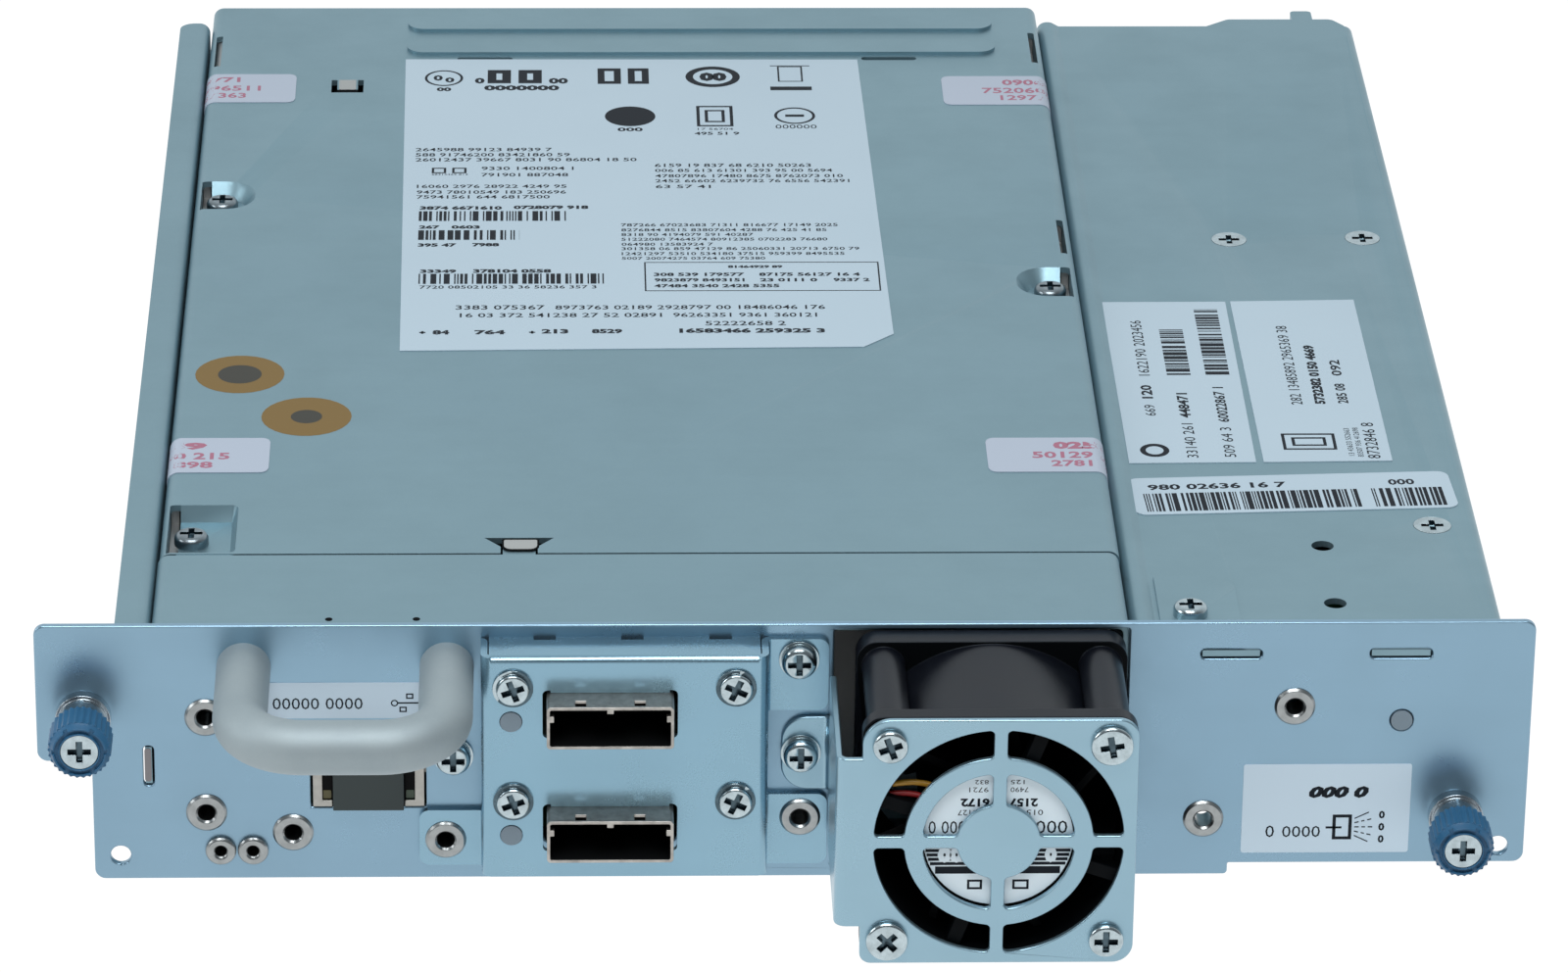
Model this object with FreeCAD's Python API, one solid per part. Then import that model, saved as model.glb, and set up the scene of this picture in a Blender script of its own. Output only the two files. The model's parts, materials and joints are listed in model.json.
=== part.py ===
import FreeCAD, Part

# Half-height tape drive on its slide-in sled, for a tape library's drive bay.
# A sheet-metal tray holds the drive, and beside it a shallow electronics compartment hangs
# on a raised shelf, so that the bay's guide rail passes under it. The connector panel closes
# the bay; it carries the ports, the fan, the pull handle and two captive screws.
# The tape mouth is at the far end.
# Millimetres. +X is right and +Y runs from the panel to the tape mouth, as seen from the
# panel side. +Z is up and the underside is at Z = 0. Every piece is drawn with Y counted
# from the panel's outer face, and is set down about the middle of the depth when saved.

import math
import os

V = FreeCAD.Vector

# ---------------------------------------------------------------- driving dimensions
# Stock and fits
sheet = 1.0                 # tray, covers and brackets
bend = 0.8                  # inside radius of a bend
gap = 0.1                   # clearance between pieces that are only laid together
seat_gap = 0.3              # clearance beside what slides or turns
running = 0.05              # radial clearance of a shaft in its bore

# Connector panel
panel_sheet = 1.2
panel_width = 221.6
panel_height = 42.2
panel_corner = 1.6
left_notch_width = 8.0      # the left ear hangs this far out past the lower edge
left_notch_height = 19.8
right_step_height = 1.9
right_step_x = 66.4
corner_hole_radius = 1.5
corner_hole_inset = 3.9
corner_hole_height = 4.0

# Drive and the cable bay between it and the panel
drive_height = 40.5
deck_room = 94.3            # from the drive's near end to the loaded cartridge
drive_side_gap = 0.4
cable_bay_depth = 25.4
seam = 0.4                  # open line between the bay cover and the drive

# Tray
tray_left = -94.9
rail_width = 4.1            # top flange, past the outer face of the left wall
rail_back_inset = 7.0       # the left wall stops this far short of the drive's far end
rail_corner = 2.5
shelf_height = 20.0
side_width = 55.9           # electronics compartment, outside
wall_tab_bottom = 16.0
wall_tab_height = 6.0
slot_clearance = 0.3
slot_end = 0.75             # radius at a tab slot's ends
front_tab_height = 9.0
front_tabs = ((-69.0, 12.0), (14.0, 20.0))      # x of the left edge, width

# Electronics compartment cover
side_top = 37.5
ridge_rise = 0.8
ridge_flat = 1.8
ridge_run = 1.4
ridge_bend = 0.7
side_flange = 8.0
side_overhang = 4.3         # how far its far edge stands past the drive
side_back_step = 3.2
step_x = 30.0               # from the drive's side of the compartment
step_slope = 4.0
step_round = 1.5
nub_width = 3.7
nub_length = 3.8
nub_inset = 6.8
side_corner = 3.5
cover_tabs = ((10.2, 8.5), (35.3, 8.7))         # x from the compartment's left, width
pad_width = 12.0
pad_depth = 24.2
pad_rise = 0.4
pad_corner = 4.0
side_screw = (9.2, 11.3)    # from the compartment's left, from the panel
side_holes = ((31.2, 35.2), (31.3, 15.7))
side_hole_radius = 1.7

# Electronics board under that cover
standoffs_at = ((26.4, 150.4), (48.6, 150.9), (48.7, 42.3))
standoff_radius = 2.75
standoff_height = 5.6
standoff_stem = 1.4
board_sheet = 1.6
board_inset = 4.5
board_near = 30.0
board_far = 12.0
dock_width = 38.0           # blind-mate connector at the far end
dock_height = 8.0
dock_depth = 14.0
dock_reach = 3.0

# Bay cover
bay_flange = 9.0
bay_notches = (26.5, 39.5)  # in the near edge, from the drive's left side
bay_notch_width = 1.5
bay_notch_depth = 0.8
bay_tongue_width = 5.0
bay_tongue_reach = 3.0

# Drive cover
skirt = 12.0
rib_rise = 0.6
rib_width = 5.8
rib_ends = (34.2, 8.2)      # from the drive's left and right sides
rib_insets = (8.2, 18.8)    # from the far edge
lance_width = 9.5
lance_depth = 1.4
lances_from = (13.5, 18.6)  # from the rib's left and right ends
recess_depth = 2.5
recess_radius = 5.7
recess_reach = 10.0
recess_corner = 5.1
recess_slope = 1.8          # how far its walls lean in
recess_slit = 1.6           # open line between its floor and the skirt
left_recess_from = 82.2     # from the drive's far end
right_recess_from = 99.1    # from its near end
near_recess_from = 8.6
near_recess_half = 8.2
near_recess_reach = 11.4
near_recess_corner = 1.2
near_recess_slope = 1.0
cover_screw_inset = 4.5
edge_slot_length = 13.4
edge_slot_width = 1.1
left_slots_from = (19.8,)   # from the drive's far end
right_slots_from = (18.4, 99.7)
hook_cut = (24.2, 35.5)     # from the drive's left side and far end
hook_cut_size = 5.5
hook_cut_width = 1.0
hook_cut_near = 1.3
hook_drop = 0.9
notch_from = 54.0           # from the drive's left side
notch_throat = 2.2
notch_wide = 10.5
notch_narrow = 5.6
notch_depth = 5.2

# Drive base
base_wall = 1.2
base_floor = 2.0
base_corner = 1.0
boss_radius = 3.4
pillar_radius = 4.0
drive_screw_inset = 2.35     # from the drive's sides
drive_screw_along = 79.25
drive_screw_near = 47.4     # from the drive's near end
drive_screw_length = 6.0
plug_window = (60.0, 9.0, 8.0)                  # width, bottom, height in the near wall

# Cartridge cradle and its loader
cartridge_width = 105.4
cartridge_depth = 102.0
cartridge_height = 21.5
cartridge_play = 0.6
cradle_wall = 1.0
cradle_floor = 16.4
cradle_height = 22.6
cradle_mouth_gap = 1.6      # from the base's far edge
load_travel = 19.0
hub_hole_radius = 17.0
rack_height = 3.0
rack_base = 1.2

# Loader gear: an involute spur gear and its rack
gear_module = 1.0
gear_teeth = 12
gear_height = 5.0
gear_bottom = 21.0
gear_from_mouth = 62.0
gear_backlash = 0.16
gear_clearance = 0.5        # from the teeth to the base's wall
gear_addendum = 0.8
rack_addendum = 0.6
rack_dedendum = 1.1
pressure_angle = 20.0
gear_pin = 1.5

# Tape deck
deck_bottom = 10.0
deck_sheet = 1.5
deck_inset = 2.0
deck_near = 5.0             # from the drive's near end
deck_far = 10.0
deck_rail = 2.0
motor_radius = 20.0
motor_height = 2.2
motor_slots = 9
shaft_radius = 3.0
takeup_from = (-26.7, 52.6)      # from the drive's middle and near end
reel_radius = 36.0
reel_hub = 18.0
reel_flange = 1.2
reel_bottom = 20.6
tape_room = 13.4            # between the flanges
cup_clear = 0.8
cup_sheet = 1.2
clutch_plate = 1.2
clutch_outer = 12.0
clutch_inner = 8.0
clutch_tooth = 1.2
clutch_teeth = 12
roller_radius = 6.0
roller_rim = 7.5
roller_bottom = 20.6
rollers_from = ((-12.9, 89.6), (-12.9, 73.6), (-13.4, 36.6), (-36.9, 20.6))  # from the right
head_from = (-19.9, 55.6)
head_width = 14.0
head_length = 20.0
head_height = 14.0
head_bottom = 20.0
head_travel = 3.0
head_rod = 1.5
head_rod_spread = 12.0
threader_from = (25.3, 74.6)
threader_reach = 30.0
threader_width = 6.0
threader_bottom = 37.4
threader_thick = 2.0
threader_start = 20.0       # degrees from +X
threader_catch = 1.0
main_board_bottom = 4.6
main_board_inset = 14.0
main_board_length = 96.0
main_foot = (2.0, 5.0)      # radius, inset
main_chips = ((20.0, 30.0, 14.0, 14.0, 1.6), (60.0, 56.0, 12.0, 12.0, 1.2))  # x, y, size, height
main_plug_width = 52.0
side_chips = ((12.0, 60.0, 14.0, 14.0, 1.5), (10.0, 4.0, 6.0, 30.0, 6.0))

# Fan
fan_size = 40.0
fan_depth = 28.0
fan_x = 30.1
fan_z = 21.2
fan_pitch = 32.0
fan_corner = 3.2
fan_flange = 4.0
fan_front_flange = 2.8
fan_bore = 18.6
fan_barrel = 19.6
fan_hole = 1.8
fan_base_radius = 11.4
fan_base_depth = 2.6
fan_strut = 2.2
fan_struts = 4
hub_radius = 11.0
hub_wall = 1.2
hub_gap = 0.6               # between the turning hub and the fixed base
hub_back = 4.0              # from the fan's inner end
blade_count = 7
blade_gap = 0.6
blade_thick = 1.1
blade_lean = 32.0
fan_shaft = 1.5
bearing_radius = 3.0
bearing_width = 2.5
tube_wall = 0.9
stator_radius = 8.6
stator_poles = 4
stator_height = 9.0
window_clear = 3.1          # the panel's window left of the fan
window_top = 0.9            # strip of panel above the window
window_bottom = 1.6

# Fan bracket
wing_left = 6.3
wing_bottom = 7.3
wing_top = 34.9
foot_left = -0.7
foot_bottom = 15.2
foot_top = 27.3
foot_screw = (2.2, 21.5)
bracket_corner = 3.0
bracket_big_corner = 4.2
grille_outer = 18.2
grille_ring = 13.8
grille_inner = 11.1
grille_hub = 6.1
grille_bar = 2.0
grille_corner = 0.7

# Port bracket
port_left = -45.1
port_right = -2.8
port_stand = 6.8            # how far its face stands off the panel
port_top = 40.2
port_bottom = 3.8
port_corner = 1.2
right_ear_end = 6.2
left_ear_end = -54.4
upper_ear = (28.5, 40.2)
lower_ear = (2.7, 14.4)
left_ear = (2.9, 11.9)
ear_corner = 1.5
slits_x = (-35.7, -22.8, -9.8)
slit_width = 3.3
slit_height = 0.8
wall_notch = (31.5, 34.1)
ear_screw = (1.8, 37.0)

# Cable ports in it
port_x = -26.1
ports_z = (30.9, 12.0)
port_width = 18.7
port_height = 6.9
port_out = 4.6              # past the bracket's face
port_shell = 0.5
port_depth = 20.0
port_side_gap = 0.6
port_nub = (0.6, 1.0, 1.2)  # reach, height and depth of the shell's turned-in nubs
port_nub_drop = 2.0         # from the top down to the side nubs' middle
latch_window = (1.6, 1.7, 0.5)                  # width, length, from the front
latch_apart = 8.7
port_gap = 0.5
tongue_width = 13.0
tongue_thick = 1.0
tongue_length = 4.0
contact_block = 9.0
port_screw_x = (-40.4, -7.6)
port_screw_z = (35.3, 16.5)
port_board_inset = 3.0
light_radius = 1.6
port_light_x = -40.7
port_lights_z = (29.7, 10.8)
panel_light = (91.5, 25.9)
light_length = 6.0

# Network jack
jack_x = -61.9
jack_width = 16.5
jack_bottom = 12.3
jack_height = 13.6
jack_out = 0.4
jack_depth = 16.0
jack_shell = 0.4
jack_gap = 0.3
jack_screw = (-49.3, 20.7)
jack_ear = 1.2
jack_ear_half = 3.6
jack_room = (10.8, 9.6, 12.0)                   # width, height, depth of the plug's room
jack_strip = 1.4            # the shell's front edges
jack_sill = 1.0
plug_top = 11.6             # the stopper's face, from the jack's bottom
plug_out = 1.4
plug_gap = 0.15
jack_board_half = 12.0
jack_board_depth = 20.5
jack_post = 2.0

# Pull handle
handle_x = -65.1
handle_spread = 29.9
handle_z = 35.4
handle_radius = 4.0
handle_reach = 25.6         # panel to the bar's centreline
handle_bend = 9.5
handle_tap = 10.0

# Clinch inserts
insert_head = 3.05
insert_barrel = 2.5
insert_bore = 1.3
insert_length = 4.5
insert_rim = 0.5
insert_chamfer = 0.35
inserts_at = ((-85.9, 27.1), (-86.0, 11.2), (-73.2, 7.8), (75.5, 28.3), (62.5, 9.5))
ear_inserts_at = ((-50.5, 7.0), (2.2, 10.6))
small_head = 2.3
small_barrel = 1.9
small_bore = 0.85
small_rim = 0.9
small_inserts_at = ((-84.0, 4.9), (-79.2, 4.9))

# Captive screws
left_screw_at = (-103.8, 27.5)
right_screw_at = (100.2, 10.1)
knob_radius = 4.7
knob_length = 6.0
knob_front = 12.0           # from the panel
knob_skin = 0.85
knob_web = 2.2
knob_notches = 6            # round the screw's head
knob_notch = (0.7, 0.8, 0.5)                    # width, reach, depth
knob_flutes = 30
flute_depth = 0.3
ferrule_radius = 3.6
ferrule_wall = 0.5
ferrule_length = 6.1
ferrule_flange = 4.1
ferrule_flange_thick = 1.8
screw_travel = 3.4
screw_neck = 1.5
screw_thread = 2.0
screw_tip = 6.0             # behind the panel's outer face
tip_round = 0.4
screw_head = 2.8
screw_head_depth = 1.4
spring_wire = 0.25
spring_turns = 4

# Screws
m3 = 1.45
short_screw = 6.0
fan_screw = 9.0
lid_screw = 5.5
m4 = 1.9
pan_head = 2.6
pan_height = 1.8
low_head = 2.45
low_height = 0.8
washer_radius = 3.0
washer_thick = 0.5
flat_head = 2.9
big_head = 3.1
big_height = 1.1
cross_width = 0.9
cross_span = 3.4
cross_sink = 1.0

# ---------------------------------------------------------------- worked-out places
half_width = panel_width / 2
pitch_radius = gear_module * gear_teeth / 2
cradle_half = cartridge_width / 2 + cartridge_play + cradle_wall
gear_lane = rack_base + rack_dedendum + 2 * pitch_radius + gear_addendum + gear_clearance
drive_width = 2 * (cradle_half + gear_lane + base_wall + gap + sheet)
drive_length = deck_room + load_travel + cartridge_depth + cradle_mouth_gap
drive_left = tray_left + sheet + drive_side_gap
drive_right = drive_left + drive_width
drive_middle = (drive_left + drive_right) / 2
drive_near = cable_bay_depth
drive_far = cable_bay_depth + drive_length
drive_bottom = sheet
drive_top = drive_bottom + drive_height
side_left = drive_right + drive_side_gap
side_right = side_left + side_width
shelf_top = shelf_height
notch_x = drive_left + notch_from
rib_left = drive_left + rib_ends[0]
rib_right = drive_right - rib_ends[1]
lances_x = (rib_left + lances_from[0], rib_right - lances_from[1])
left_recess_y = drive_far - left_recess_from
right_recess_y = drive_near + right_recess_from
near_recess_y = drive_near + near_recess_from
left_slots_y = [drive_far - y for y in left_slots_from]
right_slots_y = [drive_far - y for y in right_slots_from]
inner_left = drive_left + sheet + gap          # outer faces of the base, inside the cover
inner_right = drive_right - sheet - gap
inner_top = drive_top - sheet
base_top = inner_top - gap
base_inside = drive_bottom + base_floor
deck_left = inner_left + base_wall + gap
deck_right = inner_right - base_wall - gap
deck_top = deck_bottom + deck_sheet
side_far = drive_far + side_overhang
side_near_far = side_far - side_back_step      # left part of the side cover's far edge
back_reach = side_far + nub_length
front_reach = fan_depth + sheet + pan_height
panel_y = (front_reach - back_reach) / 2       # the panel's outer face, once set down
board_bottom = shelf_top + standoff_height
takeup_at = (drive_middle + takeup_from[0], drive_near + takeup_from[1])
supply_at = (drive_middle, drive_near + deck_room + cartridge_depth / 2)
rollers_at = [(drive_right + x, drive_near + y) for x, y in rollers_from]
head_at = (drive_right + head_from[0], drive_near + head_from[1])
threader_at = (drive_middle + threader_from[0], drive_near + threader_from[1])
roller_height = tape_room + 2 * reel_flange
rack_pitch_x = drive_middle - cradle_half - rack_base - rack_dedendum
gear_at = (rack_pitch_x - pitch_radius, drive_far - gear_from_mouth)

out = "parts"


# ---------------------------------------------------------------- drawing helpers
def box(x0, x1, y0, y1, z0, z1):
    """A block between two corners."""
    return Part.makeBox(x1 - x0, y1 - y0, z1 - z0, V(x0, y0, z0))


def rod(start, toward, radius, length):
    """A cylinder from start along toward."""
    return Part.makeCylinder(radius, length, V(*start), V(*toward))


def tube(start, toward, outer, inner, length):
    """A round sleeve from start along toward."""
    return rod(start, toward, outer, length).cut(rod(start, toward, inner, length))


def fuse(shapes):
    """All shapes as one solid, without seams between flat faces."""
    whole = shapes[0]
    if len(shapes) > 1:
        whole = whole.multiFuse(list(shapes[1:]))
    return whole.removeSplitter()


def cut(shape, tools):
    """The shape less every tool."""
    return shape.cut(list(tools)).removeSplitter()


def in_xz(y):
    """Places a drawn point (u, v) at (x, z) on the plane at this y."""
    return lambda u, v: V(u, y, v)


def in_xy(z):
    """Places a drawn point (u, v) at (x, y) on the plane at this z."""
    return lambda u, v: V(u, v, z)


def unit(a, b):
    """Direction from a to b."""
    n = math.hypot(b[0] - a[0], b[1] - a[1])
    return (b[0] - a[0]) / n, (b[1] - a[1]) / n


def corner_arc(before, at, after, radius):
    """Start, end and centre of the arc that rounds a corner, and which way it turns."""
    d1 = unit(before, at)
    d2 = unit(at, after)
    turn = math.atan2(d1[0] * d2[1] - d1[1] * d2[0], d1[0] * d2[0] + d1[1] * d2[1])
    back = radius * math.tan(abs(turn) / 2)
    start = (at[0] - d1[0] * back, at[1] - d1[1] * back)
    end = (at[0] + d2[0] * back, at[1] + d2[1] * back)
    side = math.copysign(1.0, turn)
    centre = (start[0] - d1[1] * radius * side, start[1] + d1[0] * radius * side)
    return start, end, centre, side


def closed_wire(corners, place):
    """A closed wire through (u, v, radius) corners, each rounded by its radius."""
    edges, first, last = [], None, None
    n = len(corners)
    for i in range(n):
        before, at, after = corners[i - 1][:2], corners[i][:2], corners[(i + 1) % n][:2]
        radius = corners[i][2]
        start = end = at
        if radius > 0:
            start, end, centre, _ = corner_arc(before, at, after, radius)
        if last is None:
            first = start
        elif math.dist(last, start) > 1e-6:
            edges.append(Part.LineSegment(place(*last), place(*start)).toShape())
        if radius > 0:
            d = unit(centre, at)
            middle = (centre[0] + d[0] * radius, centre[1] + d[1] * radius)
            edges.append(Part.Arc(place(*start), place(*middle), place(*end)).toShape())
        last = end
    if math.dist(last, first) > 1e-6:
        edges.append(Part.LineSegment(place(*last), place(*first)).toShape())
    return Part.Wire(edges)


def plate(corners, place, along):
    """A flat piece: the rounded outline carried along a vector."""
    return Part.Face(closed_wire(corners, place)).extrude(V(*along))


def oblong(u0, u1, v0, v1, radius=0.0):
    """The four corners of a rectangle, for plate()."""
    return ((u0, v0, radius), (u1, v0, radius), (u1, v1, radius), (u0, v1, radius))


def folded(points, place, along, inside=bend):
    """Bent sheet: a line of points down the middle of the thickness, carried along a vector."""
    h = sheet / 2
    loop = []
    for line in (points, points[::-1]):
        d = unit(line[0], line[1])
        last = (line[0][0] - d[1] * h, line[0][1] + d[0] * h)
        if loop:
            loop.append(Part.LineSegment(place(*corner), place(*last)).toShape())
        else:
            first = last
        for i in range(1, len(line) - 1):
            start, end, centre, turn = corner_arc(line[i - 1], line[i], line[i + 1], inside + h)
            r = inside + h - h * turn
            arc = []
            for to in (start, line[i], end):
                k = unit(centre, to)
                arc.append((centre[0] + k[0] * r, centre[1] + k[1] * r))
            loop.append(Part.LineSegment(place(*last), place(*arc[0])).toShape())
            loop.append(Part.Arc(*[place(*p) for p in arc]).toShape())
            last = arc[2]
        d = unit(line[-2], line[-1])
        corner = (line[-1][0] - d[1] * h, line[-1][1] + d[0] * h)
        loop.append(Part.LineSegment(place(*last), place(*corner)).toShape())
    loop.append(Part.LineSegment(place(*corner), place(*first)).toShape())
    return Part.Face(Part.Wire(loop)).extrude(V(*along))


def turned(shape, at, toward):
    """Turns a shape drawn about +Z to point along toward, and sets it at a point."""
    shape.Placement = FreeCAD.Placement(V(*at), FreeCAD.Rotation(V(0, 0, 1), V(*toward)))
    return shape


def cross(top, turn=0.0):
    """The cutters for a cross recess in a head whose top is at z = top, turned by an angle."""
    half, wide = cross_span / 2, cross_width / 2
    arms = [box(-half, half, -wide, wide, top - cross_sink, top + 1),
            box(-wide, wide, -half, half, top - cross_sink, top + 1)]
    for arm in arms:
        arm.rotate(V(0, 0, 0), V(0, 0, 1), turn)
    return arms


def pan_screw(at, driven, radius, length, washer=False, turn=0.0, head=pan_head, high=pan_height):
    """A domed screw; at is where the head meets the sheet, driven is the way it goes in."""
    base = washer_thick if washer else 0.0
    cap = rod((0, 0, 0), (0, 0, 1), head, base + high)
    rim = [e for e in cap.Edges if e.BoundBox.ZMin > base + high - 0.01]
    pieces = [cap.makeFillet(high * 0.5, rim), rod((0, 0, 0), (0, 0, -1), radius, length)]
    if washer:
        pieces.append(rod((0, 0, 0), (0, 0, 1), washer_radius, washer_thick))
    whole = cut(fuse(pieces), cross(base + high, turn))
    return turned(whole, at, [-d for d in driven])


def flat_screw(at, driven, radius, length):
    """A countersunk screw; at is the middle of its flush top."""
    head = Part.makeCone(flat_head, radius, sheet, V(0, 0, 0), V(0, 0, -1))
    whole = cut(fuse([head, rod((0, 0, 0), (0, 0, -1), radius, length)]), cross(0))
    return turned(whole, at, [-d for d in driven])


def sink(at, driven, radius):
    """The cutter for a countersunk screw's seat, a little wider than the screw."""
    cone = Part.makeCone(flat_head + gap, radius + gap, sheet, V(0, 0, 0), V(0, 0, -1))
    hole = rod((0, 0, 0.5), (0, 0, -1), radius + gap, sheet + 1.0)
    rim = rod((0, 0, 0), (0, 0, 1), flat_head + gap, 0.5)
    return turned(fuse([cone, hole, rim]), at, [-d for d in driven])


def save(name, *solids):
    """Sets the solids down in the object's frame and writes them as one node."""
    flat = [s for shape in solids for s in shape.Solids]
    whole = flat[0] if len(flat) == 1 else Part.makeCompound(flat)
    whole = whole.copy()
    whole.translate(V(0, panel_y, 0))
    whole.exportStep(os.path.join(out, name + ".step"))
    good = all(s.isValid() for s in flat)
    print(name, len(flat), round(sum(s.Volume for s in flat), 1), good)


# ---------------------------------------------------------------- sled: sheet metal
def drive_screw_places():
    """Where the four screws under the drive stand."""
    near = drive_near + drive_screw_near
    half = drive_width / 2 - drive_screw_inset
    return [(drive_middle + sx * half, y) for sx in (-1, 1) for y in (near, near + drive_screw_along)]


def sled_tray():
    """One folded sheet: left rail, wall, floor, riser, raised shelf and right wall."""
    h = sheet / 2
    near = panel_sheet + gap
    right = side_right - sheet - gap - h
    line = [(tray_left - rail_width, drive_top - h), (tray_left + h, drive_top - h),
            (tray_left + h, h), (side_left + h, h), (side_left + h, shelf_top - h),
            (right, shelf_top - h), (right, side_top - sheet - ridge_bend - gap)]
    body = folded(line, in_xz(near), (0, drive_far - near, 0))
    rail_end = drive_far - rail_back_inset
    cuts = [box(tray_left - rail_width - 1, tray_left + sheet + 1, rail_end, drive_far + 1,
                sheet + bend, drive_top + 1)]
    cuts += [sink((x, y, 0), (0, 0, 1), m3) for x, y in drive_screw_places()]
    cuts += [rod((side_left + x, y, shelf_top + 1), (0, 0, -1), standoff_stem, sheet + 2)
             for x, y in standoffs_at]
    end = plate(oblong(side_left + 2, right - 2, shelf_top - sheet, side_top - 3, 0),
                in_xz(drive_far - sheet), (0, sheet, 0))
    window = side_left + side_width / 2
    cuts.append(box(window - dock_width / 2 - seat_gap, window + dock_width / 2 + seat_gap,
                    drive_far - 2, drive_far + 1, board_bottom + board_sheet,
                    board_bottom + board_sheet + dock_height + seat_gap))
    tab = box(tray_left, tray_left + sheet, slot_clearance, near, wall_tab_bottom,
              wall_tab_bottom + wall_tab_height)
    uprights = [folded([(near + h, front_tab_height), (near + h, h), (near + 12, h)],
                       lambda u, v, x=x: V(x, u, v), (w, 0, 0)) for x, w in front_tabs]
    return cut(fuse([body, end, tab] + uprights), cuts)


def rail_corner_round(body):
    """Rounds the far outer corner of the left rail."""
    y = drive_far - rail_back_inset
    x = tray_left - rail_width
    for e in body.Edges:
        b = e.BoundBox
        if abs(b.XMax - x) < 0.02 and abs(b.YMin - y) < 0.02 and b.ZMax - b.ZMin > sheet / 2:
            return body.makeFillet(rail_corner, [e])
    return body


def round_hole(at, radius):
    """A cutter straight through the panel."""
    return rod((at[0], -5, at[1]), (0, 1, 0), radius, 10)


def wide_hole(x0, x1, z0, z1, radius=0.0):
    """A rectangular cutter straight through the panel."""
    return plate(oblong(x0, x1, z0, z1, radius), in_xz(-5), (0, 10, 0))


def rear_panel():
    """The flat connector panel with every opening in it."""
    r = panel_corner
    left = -half_width + left_notch_width
    outline = ((-half_width, panel_height, r), (-half_width, left_notch_height, r),
               (left, left_notch_height, 0), (left, 0, r), (right_step_x, 0, 0.6),
               (right_step_x, right_step_height, 0), (half_width, right_step_height, r),
               (half_width, panel_height, r))
    body = plate(outline, in_xz(0), (0, panel_sheet, 0))
    holes = [round_hole(p, insert_barrel) for p in inserts_at + ear_inserts_at]
    holes += [round_hole(p, small_barrel) for p in small_inserts_at]
    holes += [round_hole(p, ferrule_radius - ferrule_wall) for p in (left_screw_at, right_screw_at)]
    holes += [round_hole((x, corner_hole_height + dz), corner_hole_radius) for x, dz in
              ((left + corner_hole_inset, 0), (half_width - corner_hole_inset, 0.7))]
    holes += [round_hole((handle_x + s * handle_spread / 2, handle_z), m4 + gap) for s in (-1, 1)]
    holes += [round_hole(p, m3 + gap) for p in (foot_screw, ear_screw, jack_screw)]
    holes.append(round_hole(panel_light, light_radius + gap))
    c = slot_clearance
    holes.append(wide_hole(tray_left - c, tray_left + sheet + c, wall_tab_bottom - c,
                           wall_tab_bottom + wall_tab_height + c, slot_end))
    holes += [wide_hole(side_left + x - c, side_left + x + w + c, side_top - sheet - c, side_top + c,
                        slot_end) for x, w in cover_tabs]
    g = jack_gap
    holes.append(wide_hole(jack_x - jack_width / 2 - g, jack_x + jack_width / 2 + g,
                           jack_bottom - g, jack_bottom + jack_height + g))
    side = port_width / 2 + port_side_gap
    holes.append(wide_hole(port_x - side, port_x + side, ports_z[1] - 6, ports_z[0] + 6, 1.0))
    holes += [round_hole((port_light_x, z), light_radius + gap) for z in port_lights_z]
    holes += [round_hole((x, z), m3 + 2 * gap) for x in port_screw_x for z in port_screw_z]
    holes.append(wide_hole(fan_x - fan_size / 2 - window_clear, fan_x + fan_size / 2 + 0.5,
                           window_bottom, panel_height - window_top, 0.5))
    return cut(body, holes)


def bay_cover():
    """The lid over the cable bay: two notches at the panel, a tongue in the drive cover's notch."""
    h = sheet / 2
    near = panel_sheet + gap
    far = drive_near - seam
    left = drive_left - 0.2
    right = drive_right - 0.2
    line = [(left + h, drive_top - bay_flange), (left + h, drive_top - h),
            (right - h, drive_top - h), (right - h, drive_top - bay_flange)]
    body = folded(line, in_xz(near), (0, far - near, 0))
    w = bay_tongue_width / 2
    tongue = plate(((notch_x - w, far - 1, 0), (notch_x + w, far - 1, 0),
                    (notch_x + w, far + bay_tongue_reach, 0.8), (notch_x - w, far + bay_tongue_reach, 0.8)),
                   in_xy(drive_top - sheet), (0, 0, sheet - 0.2))
    w = bay_notch_width / 2
    notches = [box(drive_left + x - w, drive_left + x + w, near - 1, near + bay_notch_depth,
                   drive_top - sheet - 1, drive_top + 1) for x in bay_notches]
    return cut(fuse([body, tongue]), notches)


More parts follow.
